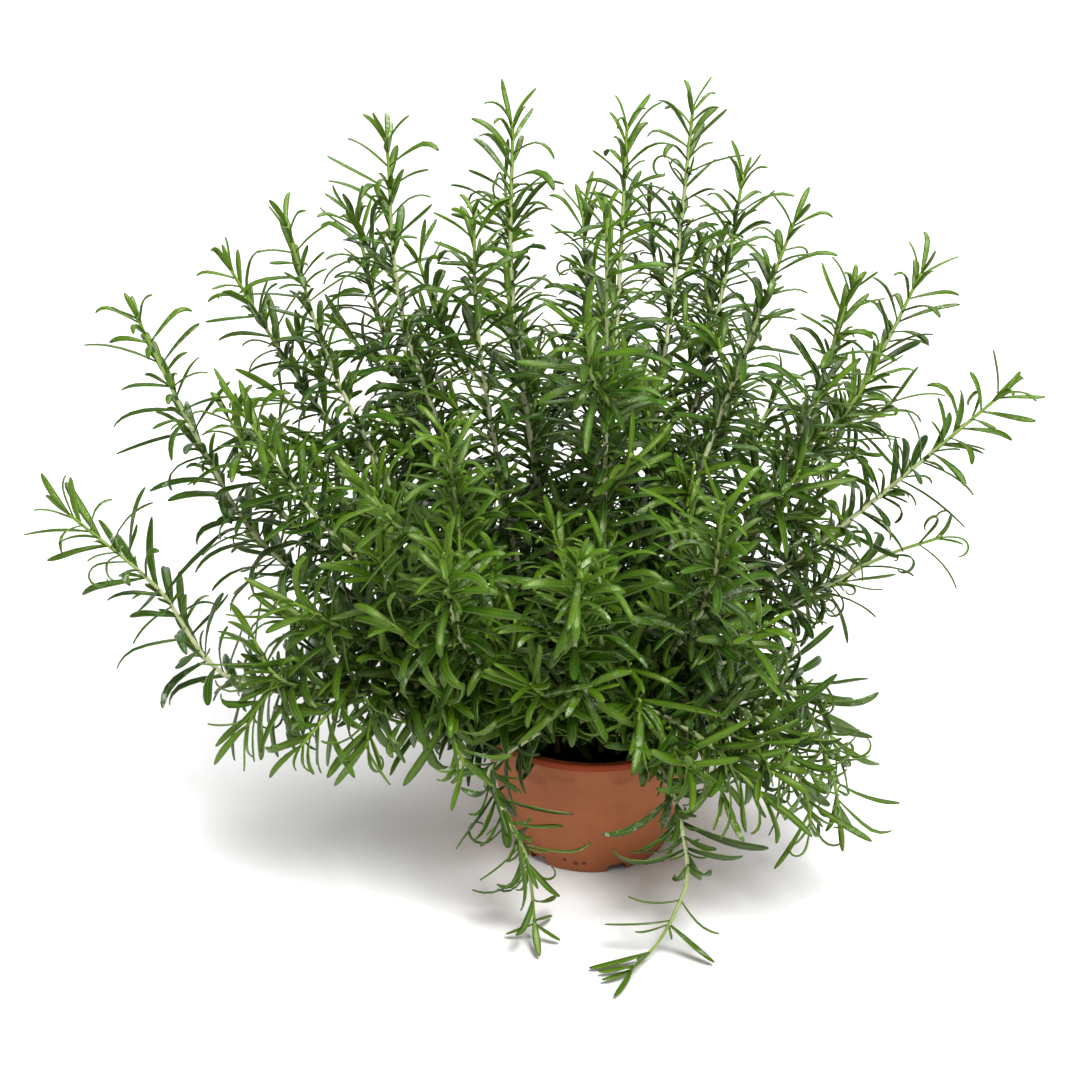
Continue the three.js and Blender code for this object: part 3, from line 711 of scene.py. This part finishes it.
def aimLeaf(leaf, extraTurn):
    turn = radians(leaf.turn + extraTurn)
    spread = radians(leaf.spread)
    radial = leaf.side * cos(turn) + leaf.out * sin(turn)
    leaf.ahead = leaf.along * cos(spread) + radial * sin(spread)
    back = radial * cos(spread) - leaf.along * sin(spread)
    down = leaf.ahead * leaf.ahead[2] - upward
    leaf.inward = unit(back * growth["backPull"] + down * growth["downPull"])
    leaf.bend = leaf.arch
    leaf.lies = leafPoint(leaf, 1)[2] < growth["layHeight"]
    if leaf.lies:
        layLeaf(leaf)


def layLeaf(leaf):
    # its tip comes down to the surface and no further, and it is flat
    slope = (growth["layHeight"] - leaf.root[2]) / leaf.length
    level = unit(np.array((leaf.ahead[0], leaf.ahead[1], 0)))
    leaf.ahead = level * sqrt(1 - slope ** 2) + upward * slope
    leaf.inward = unit(leaf.ahead * slope - upward)
    leaf.bend = growth["layBend"]


def leafPoint(leaf, share):
    angle = radians(leaf.bend) * share
    radius = leaf.length / radians(leaf.bend)
    point = leaf.root + leaf.ahead * (radius * sin(angle))
    return point + leaf.inward * (radius * (1 - cos(angle)))


def settleLeaf(leaf, room, stem, pair, gap, least):
    # the first turn of the leaf that is clear, or the widest gap if that is over `least`
    best = None
    for attempt in range(growth["leafTries"]):
        turn = ceil(attempt / 2) * (1 if attempt % 2 else -1) * growth["leafTurn"]
        aimLeaf(leaf, turn)
        start, middle, end = (leafPoint(leaf, share) for share in growth["probes"])
        if not clearOfPot(middle) or not clearOfPot(end):
            continue
        if leaf.root[2] > pot["height"] and (hidesRim(middle) or hidesRim(end)):
            continue
        space = room.gap(start, middle, stem, pair, gap + 1)
        if space > least:
            space = min(space, room.gap(middle, end, stem, pair, gap + 1))
        if space > least and (best is None or space > best[0]):
            best = (space, turn, start, middle, end)
        if space > gap:
            break
    if best is None:
        return False
    aimLeaf(leaf, best[1])
    room.add(best[2], best[3], stem, pair)
    room.add(best[3], best[4], stem, pair)
    return True


def isKept(pair):
    # whether the solids have this pair too
    return pair == 0 or pair % growth["keptPairs"] == growth["firstKeptPair"]


def growKeptLeaves(stem, order, path, room):
    leaves = []
    key = stem * 10 + order
    bare = growth["shootBare"] if order else min(growth["bareLength"], path.length * growth["bareShare"])
    pair = 0
    while pairDistance(path, pair) > bare:
        for rank in range(2 if isKept(pair) else 0):
            leaf = growLeaf(path, pairDistance(path, pair), pair, rank, (key, pair, rank))
            if settleLeaf(leaf, room, stem, key * 100 + pair, growth["leafGap"], growth["leafGap"]):
                leaves.append(leaf)
        pair += 1
    return leaves


def growMoreLeaves(stem, order, path, room, bare):
    # the pairs between the kept ones, and short young leaves in the axils of older pairs
    leaves = []
    key = stem * 10 + order
    sparseReach = 0
    if routes[stem] is trailingStems[0] or routes[stem] is rightStems[3]:
        sparseReach = fine["sparseReach"][0]
    elif routes[stem] is trailingStems[1]:
        sparseReach = fine["sparseReach"][1]
    pair = 0
    while pairDistance(path, pair) > bare:
        distance = pairDistance(path, pair)
        fromTip = path.length - distance
        thin = fromTip < sparseReach and pair % fine["sparseEvery"] != 1
        for rank in range(2):
            keys = (key, pair, rank)
            group = key * 100 + pair
            shifted = distance + between(*fine["pairScatter"], draw(*keys, 19))
            leaf = growLeaf(path, shifted, pair, rank, keys)
            if not isKept(pair) and not thin:
                if settleLeaf(leaf, room, stem, group, fine["pairGap"], fine["leastGap"]):
                    leaves.append(leaf)
            if thin or fromTip < fine["axilReach"]:
                continue
            aside = abs(leaf.root[0] - fine["middle"])
            flank = np.interp(aside, fine["flankReach"], (1, fine["flankShare"]))
            crown = np.interp(leaf.root[2], fine["crownReach"], (1, fine["crownShare"]))
            for bud in range(fine["buds"][1] if leaf.root[2] > fine["bushyHeight"] else fine["buds"][0]):
                if draw(*keys, 20 + bud) > fine["axilShare"] * flank * crown:
                    continue
                small = growLeaf(path, distance + 1, pair, rank, (*keys, 30 + bud))
                small.turn += between(*fine["budTurn"], draw(*keys, 60 + bud)) * (1 if bud else -1)
                small.spread = between(*fine["budSpread"], draw(*keys, 64 + bud))
                small.length *= between(*fine["budLength"], draw(*keys, 68 + bud))
                small.width *= fine["budWidth"]
                small.young = max(small.young, fine["budYoung"])
                if settleLeaf(small, room, stem, group, fine["budGap"], fine["budLeastGap"]):
                    leaves.append(small)
        pair += 1
    return leaves


def growPlants():
    room = Room()
    plants = []
    for stem, root in enumerate(placeRoots()):
        plants.append({"paths": [growStem(stem, root, room)]})
    for stem, plant in enumerate(plants):
        plant["paths"] += growShoots(stem, plant["paths"][0], room)
    for stem, plant in enumerate(plants):
        plant["leaves"] = [growKeptLeaves(stem, i, path, room) for i, path in enumerate(plant["paths"])]
    report(f"stems and {countLeaves(plants)} kept leaves")
    for stem, plant in enumerate(plants):
        main = plant["paths"][0]
        if routes[stem] in loneStems:
            continue
        for i in range(int(main.length / fine["shootEvery"])):
            share = (i + draw(stem, i, 41)) * fine["shootEvery"] / main.length
            distance = main.length * between(*fine["shootPlaces"], share)
            size = fine["shootLength"] * between(*fine["shootSizes"], draw(stem, i, 42))
            shoot = turnShoot(stem, main, distance, size, draw(stem, i, 43), room)
            if shoot:
                plant["paths"].append(shoot)
                plant["leaves"].append([])
    for stem, plant in enumerate(plants):
        for order, path in enumerate(plant["paths"]):
            bare = fine["shootBare"] if order else min(fine["bareLength"], path.length * fine["bareShare"])
            plant["leaves"][order] += growMoreLeaves(stem, order, path, room, bare)
    report(f"{countLeaves(plants)} leaves in all")
    return plants


def countLeaves(plants):
    return sum(len(group) for plant in plants for group in plant["leaves"])


# A leaf's section: across it, above its middle, and how much it belongs to the underside
leafSection = np.array([
    (-1.00, -0.12, 0.3),
    (-0.50, 0.50, 0.0),
    (0.00, 0.12, 0.0),
    (0.50, 0.50, 0.0),
    (1.00, -0.12, 0.3),
    (0.00, -0.50, 1.0),
])
# How wide a leaf is at shares of its length, before its point
longLeaf = [
    (0, 0.32), (0.16, 0.6), (0.34, 0.86), (0.52, 0.95), (0.69, 0.95), (0.82, 0.84), (0.92, 0.62),
    (0.98, 0.32),
]
shortLeaf = [(0, 0.4), (0.25, 0.78), (0.54, 0.96), (0.8, 0.85), (0.95, 0.46)]
curledLeaf = [
    (0, 0.4), (0.16, 0.7), (0.3, 0.94), (0.38, 1), (0.46, 1), (0.54, 0.98), (0.61, 0.94), (0.68, 0.88),
    (0.74, 0.8), (0.8, 0.72), (0.86, 0.62), (0.91, 0.5), (0.96, 0.34),
]


def ringFaces(rings, around):
    # the quads between each ring of points and the next
    j, k = np.divmod(np.arange((rings - 1) * around), around)
    n = (k + 1) % around
    return np.stack([j * around + k, (j + 1) * around + k, (j + 1) * around + n, j * around + n], axis=1)


def meshLeaves(leaves, stations):
    # many leaves at once: points, faces and what the shader reads
    def column(name):
        return np.array([getattr(leaf, name) for leaf in leaves], dtype=float)

    count = len(leaves)
    ahead = column("ahead")
    inward = column("inward")
    across = np.cross(inward, ahead)
    bend, hook, sway, twist = (np.radians(column(name)) for name in ("bend", "hook", "sway", "twist"))
    hookStart = column("hookStart")
    length = column("length")
    width = column("width")

    def directions(share):
        curled = np.maximum(0, (share - hookStart) / (1 - hookStart)) ** fine["hookCurve"]
        angle = bend * (0.5 * share + 0.5 * share * share) + hook * curled
        yaw = (sway * share)[:, None]
        angle = angle[:, None]
        level = ahead * np.cos(angle) + inward * np.sin(angle)
        face = ahead * np.sin(angle) - inward * np.cos(angle)
        forward = level * np.cos(yaw) + across * np.sin(yaw)
        wide = across * np.cos(yaw) - level * np.sin(yaw)
        roll = (twist * share)[:, None]
        return forward, wide * np.cos(roll) + face * np.sin(roll), face * np.cos(roll) - wide * np.sin(roll)

    centre = column("foot")
    points = []
    blade = []
    last = 0
    for share, shape in stations:
        if share > last:
            forward = directions((share + last) / 2)[0]
            centre = centre + forward * (length * (share - last))[:, None]
            last = share
        _, wide, face = directions(share)
        half = (width * shape / 2)[:, None, None]
        thick = fine["leafThickness"] * between(fine["thinEnds"], 1, shape)
        ring = centre[:, None] + wide[:, None] * (half * leafSection[None, :, 0:1])
        ring = ring + face[:, None] * (thick * leafSection[None, :, 1:2])
        points.append(ring)
        row = np.zeros((count, len(leafSection), 3))
        row[:, :, 0] = share
        row[:, :, 1] = leafSection[:, 0]
        row[:, :, 2] = leafSection[:, 2]
        blade.append(row)
    forward = directions(1)[0]
    end = centre + forward * (length * (1 - last))[:, None]
    around = len(leafSection)
    rings = len(stations)
    points = np.concatenate(points + [end[:, None]], axis=1)
    tipRow = np.zeros((count, 1, 3))
    tipRow[:, :, 0] = 1
    blade = np.concatenate(blade + [tipRow], axis=1)
    each = rings * around + 1
    triangles = [((rings - 1) * around + k, each - 1, (rings - 1) * around + (k + 1) % around)
                 for k in range(around)]
    starts = (np.arange(count) * each)[:, None, None]
    quads = (ringFaces(rings, around)[None] + starts).reshape(-1, 4)
    triangles = (np.array(triangles)[None] + starts).reshape(-1, 3)
    feet = np.arange(around)[None] + starts[:, 0]
    tones = np.array([(leaf.tone, leaf.young, leaf.grey) for leaf in leaves])
    growthRows = np.repeat(tones, each, axis=0)
    return points.reshape(-1, 3), (quads, triangles, feet), blade.reshape(-1, 3), growthRows


def meshStem(path, footRadius, joints, woodyLength):
    # a square stem with rounded corners, a little thicker where its leaves stand
    curve = path.smooth
    run = runAlong(curve)
    total = run[-1]
    count = max(4, int(total / fine["ringSpacing"]))
    places = np.linspace(0, total, count + 1)
    centre = np.stack([np.interp(places, run, curve[:, i]) for i in range(3)], axis=1)
    along = np.gradient(centre, axis=0)
    along /= np.linalg.norm(along, axis=1)[:, None]
    side = path.side - along * (along @ path.side)[:, None]
    side /= np.linalg.norm(side, axis=1)[:, None]
    out = np.cross(side, along)
    radius = between(footRadius, fine["stemTip"], places / total)
    if len(joints):
        nearest = np.abs(places[:, None] - joints[None] * total / path.length).min(axis=1)
        radius = radius * (1 + fine["jointSwell"] * np.exp(-(nearest / fine["jointReach"]) ** 2))
    around = fine["stemSides"]
    angles = np.arange(around) * 2 * pi / around
    square = fine["stemSquare"][0] + fine["stemSquare"][1] * np.cos(4 * (angles - pi / 4))
    ring = radius[:, None] * square[None]
    points = centre[:, None] + out[:, None] * (ring * np.cos(angles))[:, :, None]
    points = points + side[:, None] * (ring * np.sin(angles))[:, :, None]
    quads = ringFaces(count + 1, around)[:, (0, 3, 2, 1)]
    rows = np.zeros((count + 1, around, 3))
    rows[:, :, 1] = np.clip(fine["youngMost"] - (total - places) / fine["youngStem"], 0, 1)[:, None]
    rows[:, :, 2] = np.clip(1 - places / woodyLength, 0, 1)[:, None]
    return points.reshape(-1, 3), quads, rows.reshape(-1, 3)


def styleLeaf(leaf, path):
    # the small differences that only the fine leaf has
    keys = leaf.keys
    leaf.foot = path.onCurve(leaf.step)
    x, _, z = leaf.root
    strong = draw(*keys, 50)
    leaf.hook = between(*fine["hook"], draw(*keys, 51))
    leaf.hookStart = between(*fine["hookStart"], draw(*keys, 58))
    if strong > fine["strongAbove"]:
        leaf.hook = between(*fine["strongHook"], draw(*keys, 52))
    corner, low, high = fine["curlAbove"]
    if x > fine["curlCorner"][0] and z < fine["curlCorner"][1]:
        low = high = corner
    if strong > (low if z < fine["curlHeight"] else high):
        leaf.hook = between(*fine["curl"], draw(*keys, 53))
        leaf.hookStart = fine["curlStart"]
        leaf.width *= fine["curlWidth"]
    leaf.sway = between(*fine["sway"], draw(*keys, 54))
    leaf.twist = between(*fine["twist"], draw(*keys, 55))
    if leaf.lies:
        leaf.hook = between(*fine["layHook"], draw(*keys, 51))
        leaf.twist *= fine["layTwist"]
    elif z < fine["lowLeaf"]:
        leaf.hook = min(leaf.hook, fine["lowHook"])
    leaf.tone = draw(*keys, 56) ** fine["toneCurve"]
    # leaves low at the right get a darker tone: painted shade
    if x > fine["darkCorner"][0] and z < fine["darkCorner"][1]:
        leaf.tone *= fine["darkTone"]
    leaf.grey = draw(*keys, 57)


def meshPlant(name, plant, materials):
    points, faces, slots, blade, rows = [], [], [], [], []

    def add(somePoints, faceGroups, slot, someBlade, someRows):
        start = sum(len(some) for some in points)
        for group in faceGroups:
            faces.extend((np.array(group) + start).tolist())
            slots.extend([slot] * len(group))
        points.append(somePoints)
        blade.append(someBlade)
        rows.append(someRows)

    for order, (path, leaves) in enumerate(zip(plant["paths"], plant["leaves"])):
        steps = [leaf.step for leaf in leaves]
        joints = np.unique(np.round(np.interp(steps, range(len(path.run)), path.run), 3))
        foot = growth["shootFoot"] if order else growth["stemFoot"]
        stemPoints, quads, stemRows = meshStem(path, foot, joints, 1 if order else fine["woodyReach"])
        end = np.arange(fine["stemSides"])
        ends = [end[::-1], end + len(stemPoints) - len(end)]
        add(stemPoints, (quads, ends), 1, np.zeros((len(stemPoints), 3)), stemRows)
        for leaf in leaves:
            styleLeaf(leaf, path)
        curled = [leaf for leaf in leaves if leaf.hook > fine["curlLeast"]]
        others = [leaf for leaf in leaves if leaf.hook <= fine["curlLeast"]]
        small = [leaf for leaf in others if leaf.length < fine["shortLeaf"]]
        large = [leaf for leaf in others if leaf.length >= fine["shortLeaf"]]
        for some, stations in ((large, longLeaf), (small, shortLeaf), (curled, curledLeaf)):
            if some:
                leafPoints, leafFaces, leafBlade, leafRows = meshLeaves(some, stations)
                add(leafPoints, leafFaces, 0, leafBlade, leafRows)
    mesh = bpy.data.meshes.new(name)
    mesh.from_pydata((np.concatenate(points) * mm).tolist(), [], faces)
    for material in materials:
        mesh.materials.append(material)
    mesh.polygons.foreach_set("material_index", slots)
    mesh.shade_smooth()
    keepNumbers(mesh, "blade", np.concatenate(blade))
    keepNumbers(mesh, "growth", np.concatenate(rows))
    mesh.update()
    return addObject(name, mesh)


makeCamera()
report("camera")
leafFinish = makeLeafFinish()
stemFinish = makeStemFinish()
plants = growPlants()
for index, plant in enumerate(plants):
    nodeName = f"leafy_stem_{index + 1:02d}"
    leafy = meshPlant(f"rosemary_{index + 1:02d}", plant, (leafFinish, stemFinish))
    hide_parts(nodeName)
    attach(leafy, "root")
report("leafy stems")


def latheMesh(name, profile, sides):
    # a closed profile turned about the axis
    shape = bmesh.new()
    rings = []
    for radius, height in profile:
        turns = [2 * pi * k / sides for k in range(sides if radius else 1)]
        ring = [(radius * mm * cos(turn), radius * mm * sin(turn), height * mm) for turn in turns]
        rings.append([shape.verts.new(point) for point in ring])
    for lower, upper in zip(rings, rings[1:]):
        for k in range(sides):
            n = (k + 1) % sides
            around = ((lower, k), (lower, n), (upper, n), (upper, k))
            corners = [ring[turn % len(ring)] for ring, turn in around]
            shape.faces.new(list(dict.fromkeys(corners)))
    bmesh.ops.recalc_face_normals(shape, faces=shape.faces)
    return addObject(name, meshOf(name, shape))


def arc(centreRadius, centreHeight, size, start, end, count=5):
    # points of a rounded edge in a profile, with angles in degrees from the outward direction
    angles = np.radians(np.linspace(start, end, count))
    return [(centreRadius + size * cos(a), centreHeight + size * sin(a)) for a in angles]


def makePot():
    top = pot["height"]
    rim = pot["rimRadius"]
    base = pot["baseRadius"]
    under = top - pot["lipDepth"]
    inner = wallRadius(top) - pot["wall"]
    edge = pot["lipEdge"]
    profile = [(0, pot["hollow"]), (base - pot["footWidth"] - 1, pot["hollow"]), (base - pot["footWidth"], 0)]
    profile += arc(base - pot["baseEdge"], pot["baseEdge"], pot["baseEdge"], -90, -10)
    profile += [(wallRadius(h), h) for h in np.linspace(4, under - 1, 12)]
    profile += [(wallRadius(under), under - 0.3), (wallRadius(under) + 0.5, under)]
    profile += arc(rim - edge, under + edge, edge, -90, 0)
    profile += arc(rim - edge, top - edge, edge, 0, 90)
    profile += arc(inner + edge, top - edge, edge, 90, 180)
    profile += [(wallRadius(h) - pot["wall"], h) for h in np.linspace(top - 4, pot["floor"] + 2, 8)]
    profile += [(wallRadius(pot["floor"]) - pot["wall"] - 1.5, pot["floor"]), (0, pot["floor"])]
    made = latheMesh("moulded_pot", profile, pot["sides"])
    cutter = bmesh.new()
    for k in range(pot["drainHoles"]):
        angle = radians(pot["firstDrainAngle"] + 360 / pot["drainHoles"] * k)
        for corner in bmesh.ops.create_cube(cutter, size=1)["verts"]:
            x = base + corner.co.x * 2 * pot["drainReach"]
            y = corner.co.y * pot["drainWidth"]
            z = corner.co.z * 2 * pot["drainHeight"]
            turned = (x * cos(angle) - y * sin(angle), x * sin(angle) + y * cos(angle), z)
            corner.co = Vector(turned) * mm
    rounding = pot["drainEdge"] * mm
    bmesh.ops.bevel(cutter, geom=cutter.edges[:], offset=rounding, segments=3, affect="EDGES")
    cutObject = addObject("drain_cutter", meshOf("drain_cutter", cutter))
    cut = made.modifiers.new("drain holes", "BOOLEAN")
    cut.operation = "DIFFERENCE"
    cut.solver = "MANIFOLD"
    cut.object = cutObject
    applyModifiers(made)
    bpy.data.objects.remove(cutObject)
    made.data.shade_smooth()
    made.data.set_sharp_from_angle(angle=radians(pot["sharpAngle"]))
    # the lip is marked, for the finish to paint shade on it
    values = []
    for vertex in made.data.vertices:
        x, y, z = vertex.co
        onLip = z > (under - 0.2) * mm and hypot(x, y) > (wallRadius(top) - 0.5) * mm
        values.append((onLip, z, 0))
    keepNumbers(made.data, "wall", values)
    made.data.materials.clear()
    made.data.materials.append(makePotFinish())
    for face in made.data.polygons:
        face.material_index = 0   # the cut faces bring a second one
    return made


def applyModifiers(item):
    bpy.context.view_layer.update()
    graph = bpy.context.evaluated_depsgraph_get()
    mesh = bpy.data.meshes.new_from_object(item.evaluated_get(graph))
    item.modifiers.clear()
    item.data = mesh


# Soil: the gap at its side, how its top dips and crumbles, and the loose lumps on it
soil = dict(
    sideGap=0.2, edge=2.5, dip=1.2, rings=60, sides=150,
    coarseGrain=90, coarseLift=1.6, fineGrain=220, fineLift=1.5, sink=0.4,
    lumps=420, lumpInset=2, lumpSize=(0.6, 2.2),
    lumpRelief=0.45, lumpGrain=1.4, lumpStep=3.7,
    lumpLong=(0.7, 1.5), lumpWide=(0.7, 1.3), lumpHigh=(0.5, 0.9),
)


def addCrumbs(mesh, radius, top):
    # loose lumps of bark and peat, half sunk in the top of the soil
    shape = bmesh.new()
    bmesh.ops.create_icosphere(shape, subdivisions=2, radius=1)
    ball = np.array([corner.co for corner in shape.verts])
    sides = np.array([[corner.index for corner in face.verts] for face in shape.faces])
    shape.free()
    points = [np.array([vertex.co for vertex in mesh.vertices])]
    faces = [list(face.vertices) for face in mesh.polygons]
    start = len(points[0])
    for i in range(soil["lumps"]):
        reach = sqrt(draw(i, 71)) * (radius - soil["lumpInset"])
        turn = 2 * pi * draw(i, 72)
        size = between(*soil["lumpSize"], draw(i, 73) ** 3)
        centre = np.array((reach * cos(turn), reach * sin(turn), top - 0.5 + size * 0.3))
        stretch = size * np.array([between(*soil[way], draw(i, key))
                                   for way, key in (("lumpLong", 74), ("lumpWide", 75), ("lumpHigh", 76))])
        place = Vector((i * soil["lumpStep"], 0, 0))
        lumpy = [noise.noise(Vector(corner) * soil["lumpGrain"] + place) for corner in ball]
        lumpy = 1 + soil["lumpRelief"] * np.array(lumpy)
        points.append((ball * lumpy[:, None] * stretch + centre) * mm)
        faces += (sides + start).tolist()
        start += len(ball)
    mesh.clear_geometry()
    mesh.from_pydata(np.concatenate(points).tolist(), [], faces)


def makeSoil():
    # a crumbly top on a plain body, with loose crumbs lying on it
    top = pot["soilTop"]
    radius = wallRadius(top) - pot["wall"] - soil["sideGap"]
    bottom = pot["floor"] + growth["fitGap"]
    level = top - soil["dip"]
    profile = [(0, bottom), (wallRadius(5) - pot["wall"] - 0.4, bottom), (radius, top - soil["edge"])]
    profile += [(r, level) for r in np.linspace(radius - 0.6, 1, soil["rings"])] + [(0, level)]
    made = latheMesh("potting_mix", profile, soil["sides"])
    for vertex in made.data.vertices:
        if vertex.co.z > (top - 2) * mm:
            coarse = abs(noise.noise(vertex.co * soil["coarseGrain"])) * soil["coarseLift"]
            lift = noise.fractal(vertex.co * soil["fineGrain"], 0.8, 2.2, 5) * soil["fineLift"] + coarse
            vertex.co.z += (lift - soil["sink"]) * mm
    addCrumbs(made.data, radius, top)
    made.data.shade_smooth()
    made.data.materials.append(makeSoilFinish())
    return made


potPiece = makePot()
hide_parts("pot")
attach(potPiece, "root")
soilPiece = makeSoil()
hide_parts("soil")
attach(soilPiece, "root")
report("pot and soil")

# Floor and light: a pale floor, a bright even sky and three soft lamps
studio = {
    "floorSize": 8.0,
    "sky": 0.27,
    "lamps": [
        ("key", (0.5, -1.1, 2.1), (0, 0, 0.15), 0.8, 76),
        ("fill", (-1.6, -0.8, 1.2), (0, 0, 0.15), 0.8, 8),
        ("top", (0.2, 0.7, 2.0), (0, 0, 0.15), 0.9, 28),
        ("behind", (0, 2.6, 1.5), (0, 1.7, 0), 1.2, 22),
    ],
}


def makeStudio():
    shape = bmesh.new()
    bmesh.ops.create_grid(shape, x_segments=2, y_segments=2, size=studio["floorSize"] / 2)
    mesh = meshOf("floor", shape)
    floor = addObject("floor", mesh)
    paper = Finish("pale_floor", Specular_IOR_Level=0.2)
    mottle = paper.noise(3, 2)
    colour = paper.blend(mottle, (0.86, 0.86, 0.86, 1), (0.89, 0.89, 0.885, 1))
    paper.feed(Base_Color=colour, Roughness=0.75 + mottle * 0.1)
    mesh.materials.append(paper.material)
    floor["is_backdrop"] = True
    world = bpy.data.worlds.new("studio")
    world.use_nodes = True
    sky = world.node_tree.nodes["Background"].inputs
    sky["Color"].default_value = (1, 1, 1, 1)
    sky["Strength"].default_value = studio["sky"]
    bpy.context.scene.world = world
    for name, place, target, size, power in studio["lamps"]:
        data = bpy.data.lights.new(name, "AREA")
        data.size = size
        data.energy = power
        lamp = addObject(name, data)
        lamp.location = place
        aim = Vector(target) - lamp.location
        lamp.rotation_euler = aim.to_track_quat("-Z", "Y").to_euler()
    bpy.context.scene.view_settings.view_transform = "Standard"


makeStudio()
report("studio")

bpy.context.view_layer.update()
meshes = [piece.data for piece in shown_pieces() if piece.type == "MESH"]
counts = [sum(len(face.vertices) - 2 for face in mesh.polygons) for mesh in meshes]
report(f"{sum(counts)} triangles in all, {max(counts)} in the largest piece")
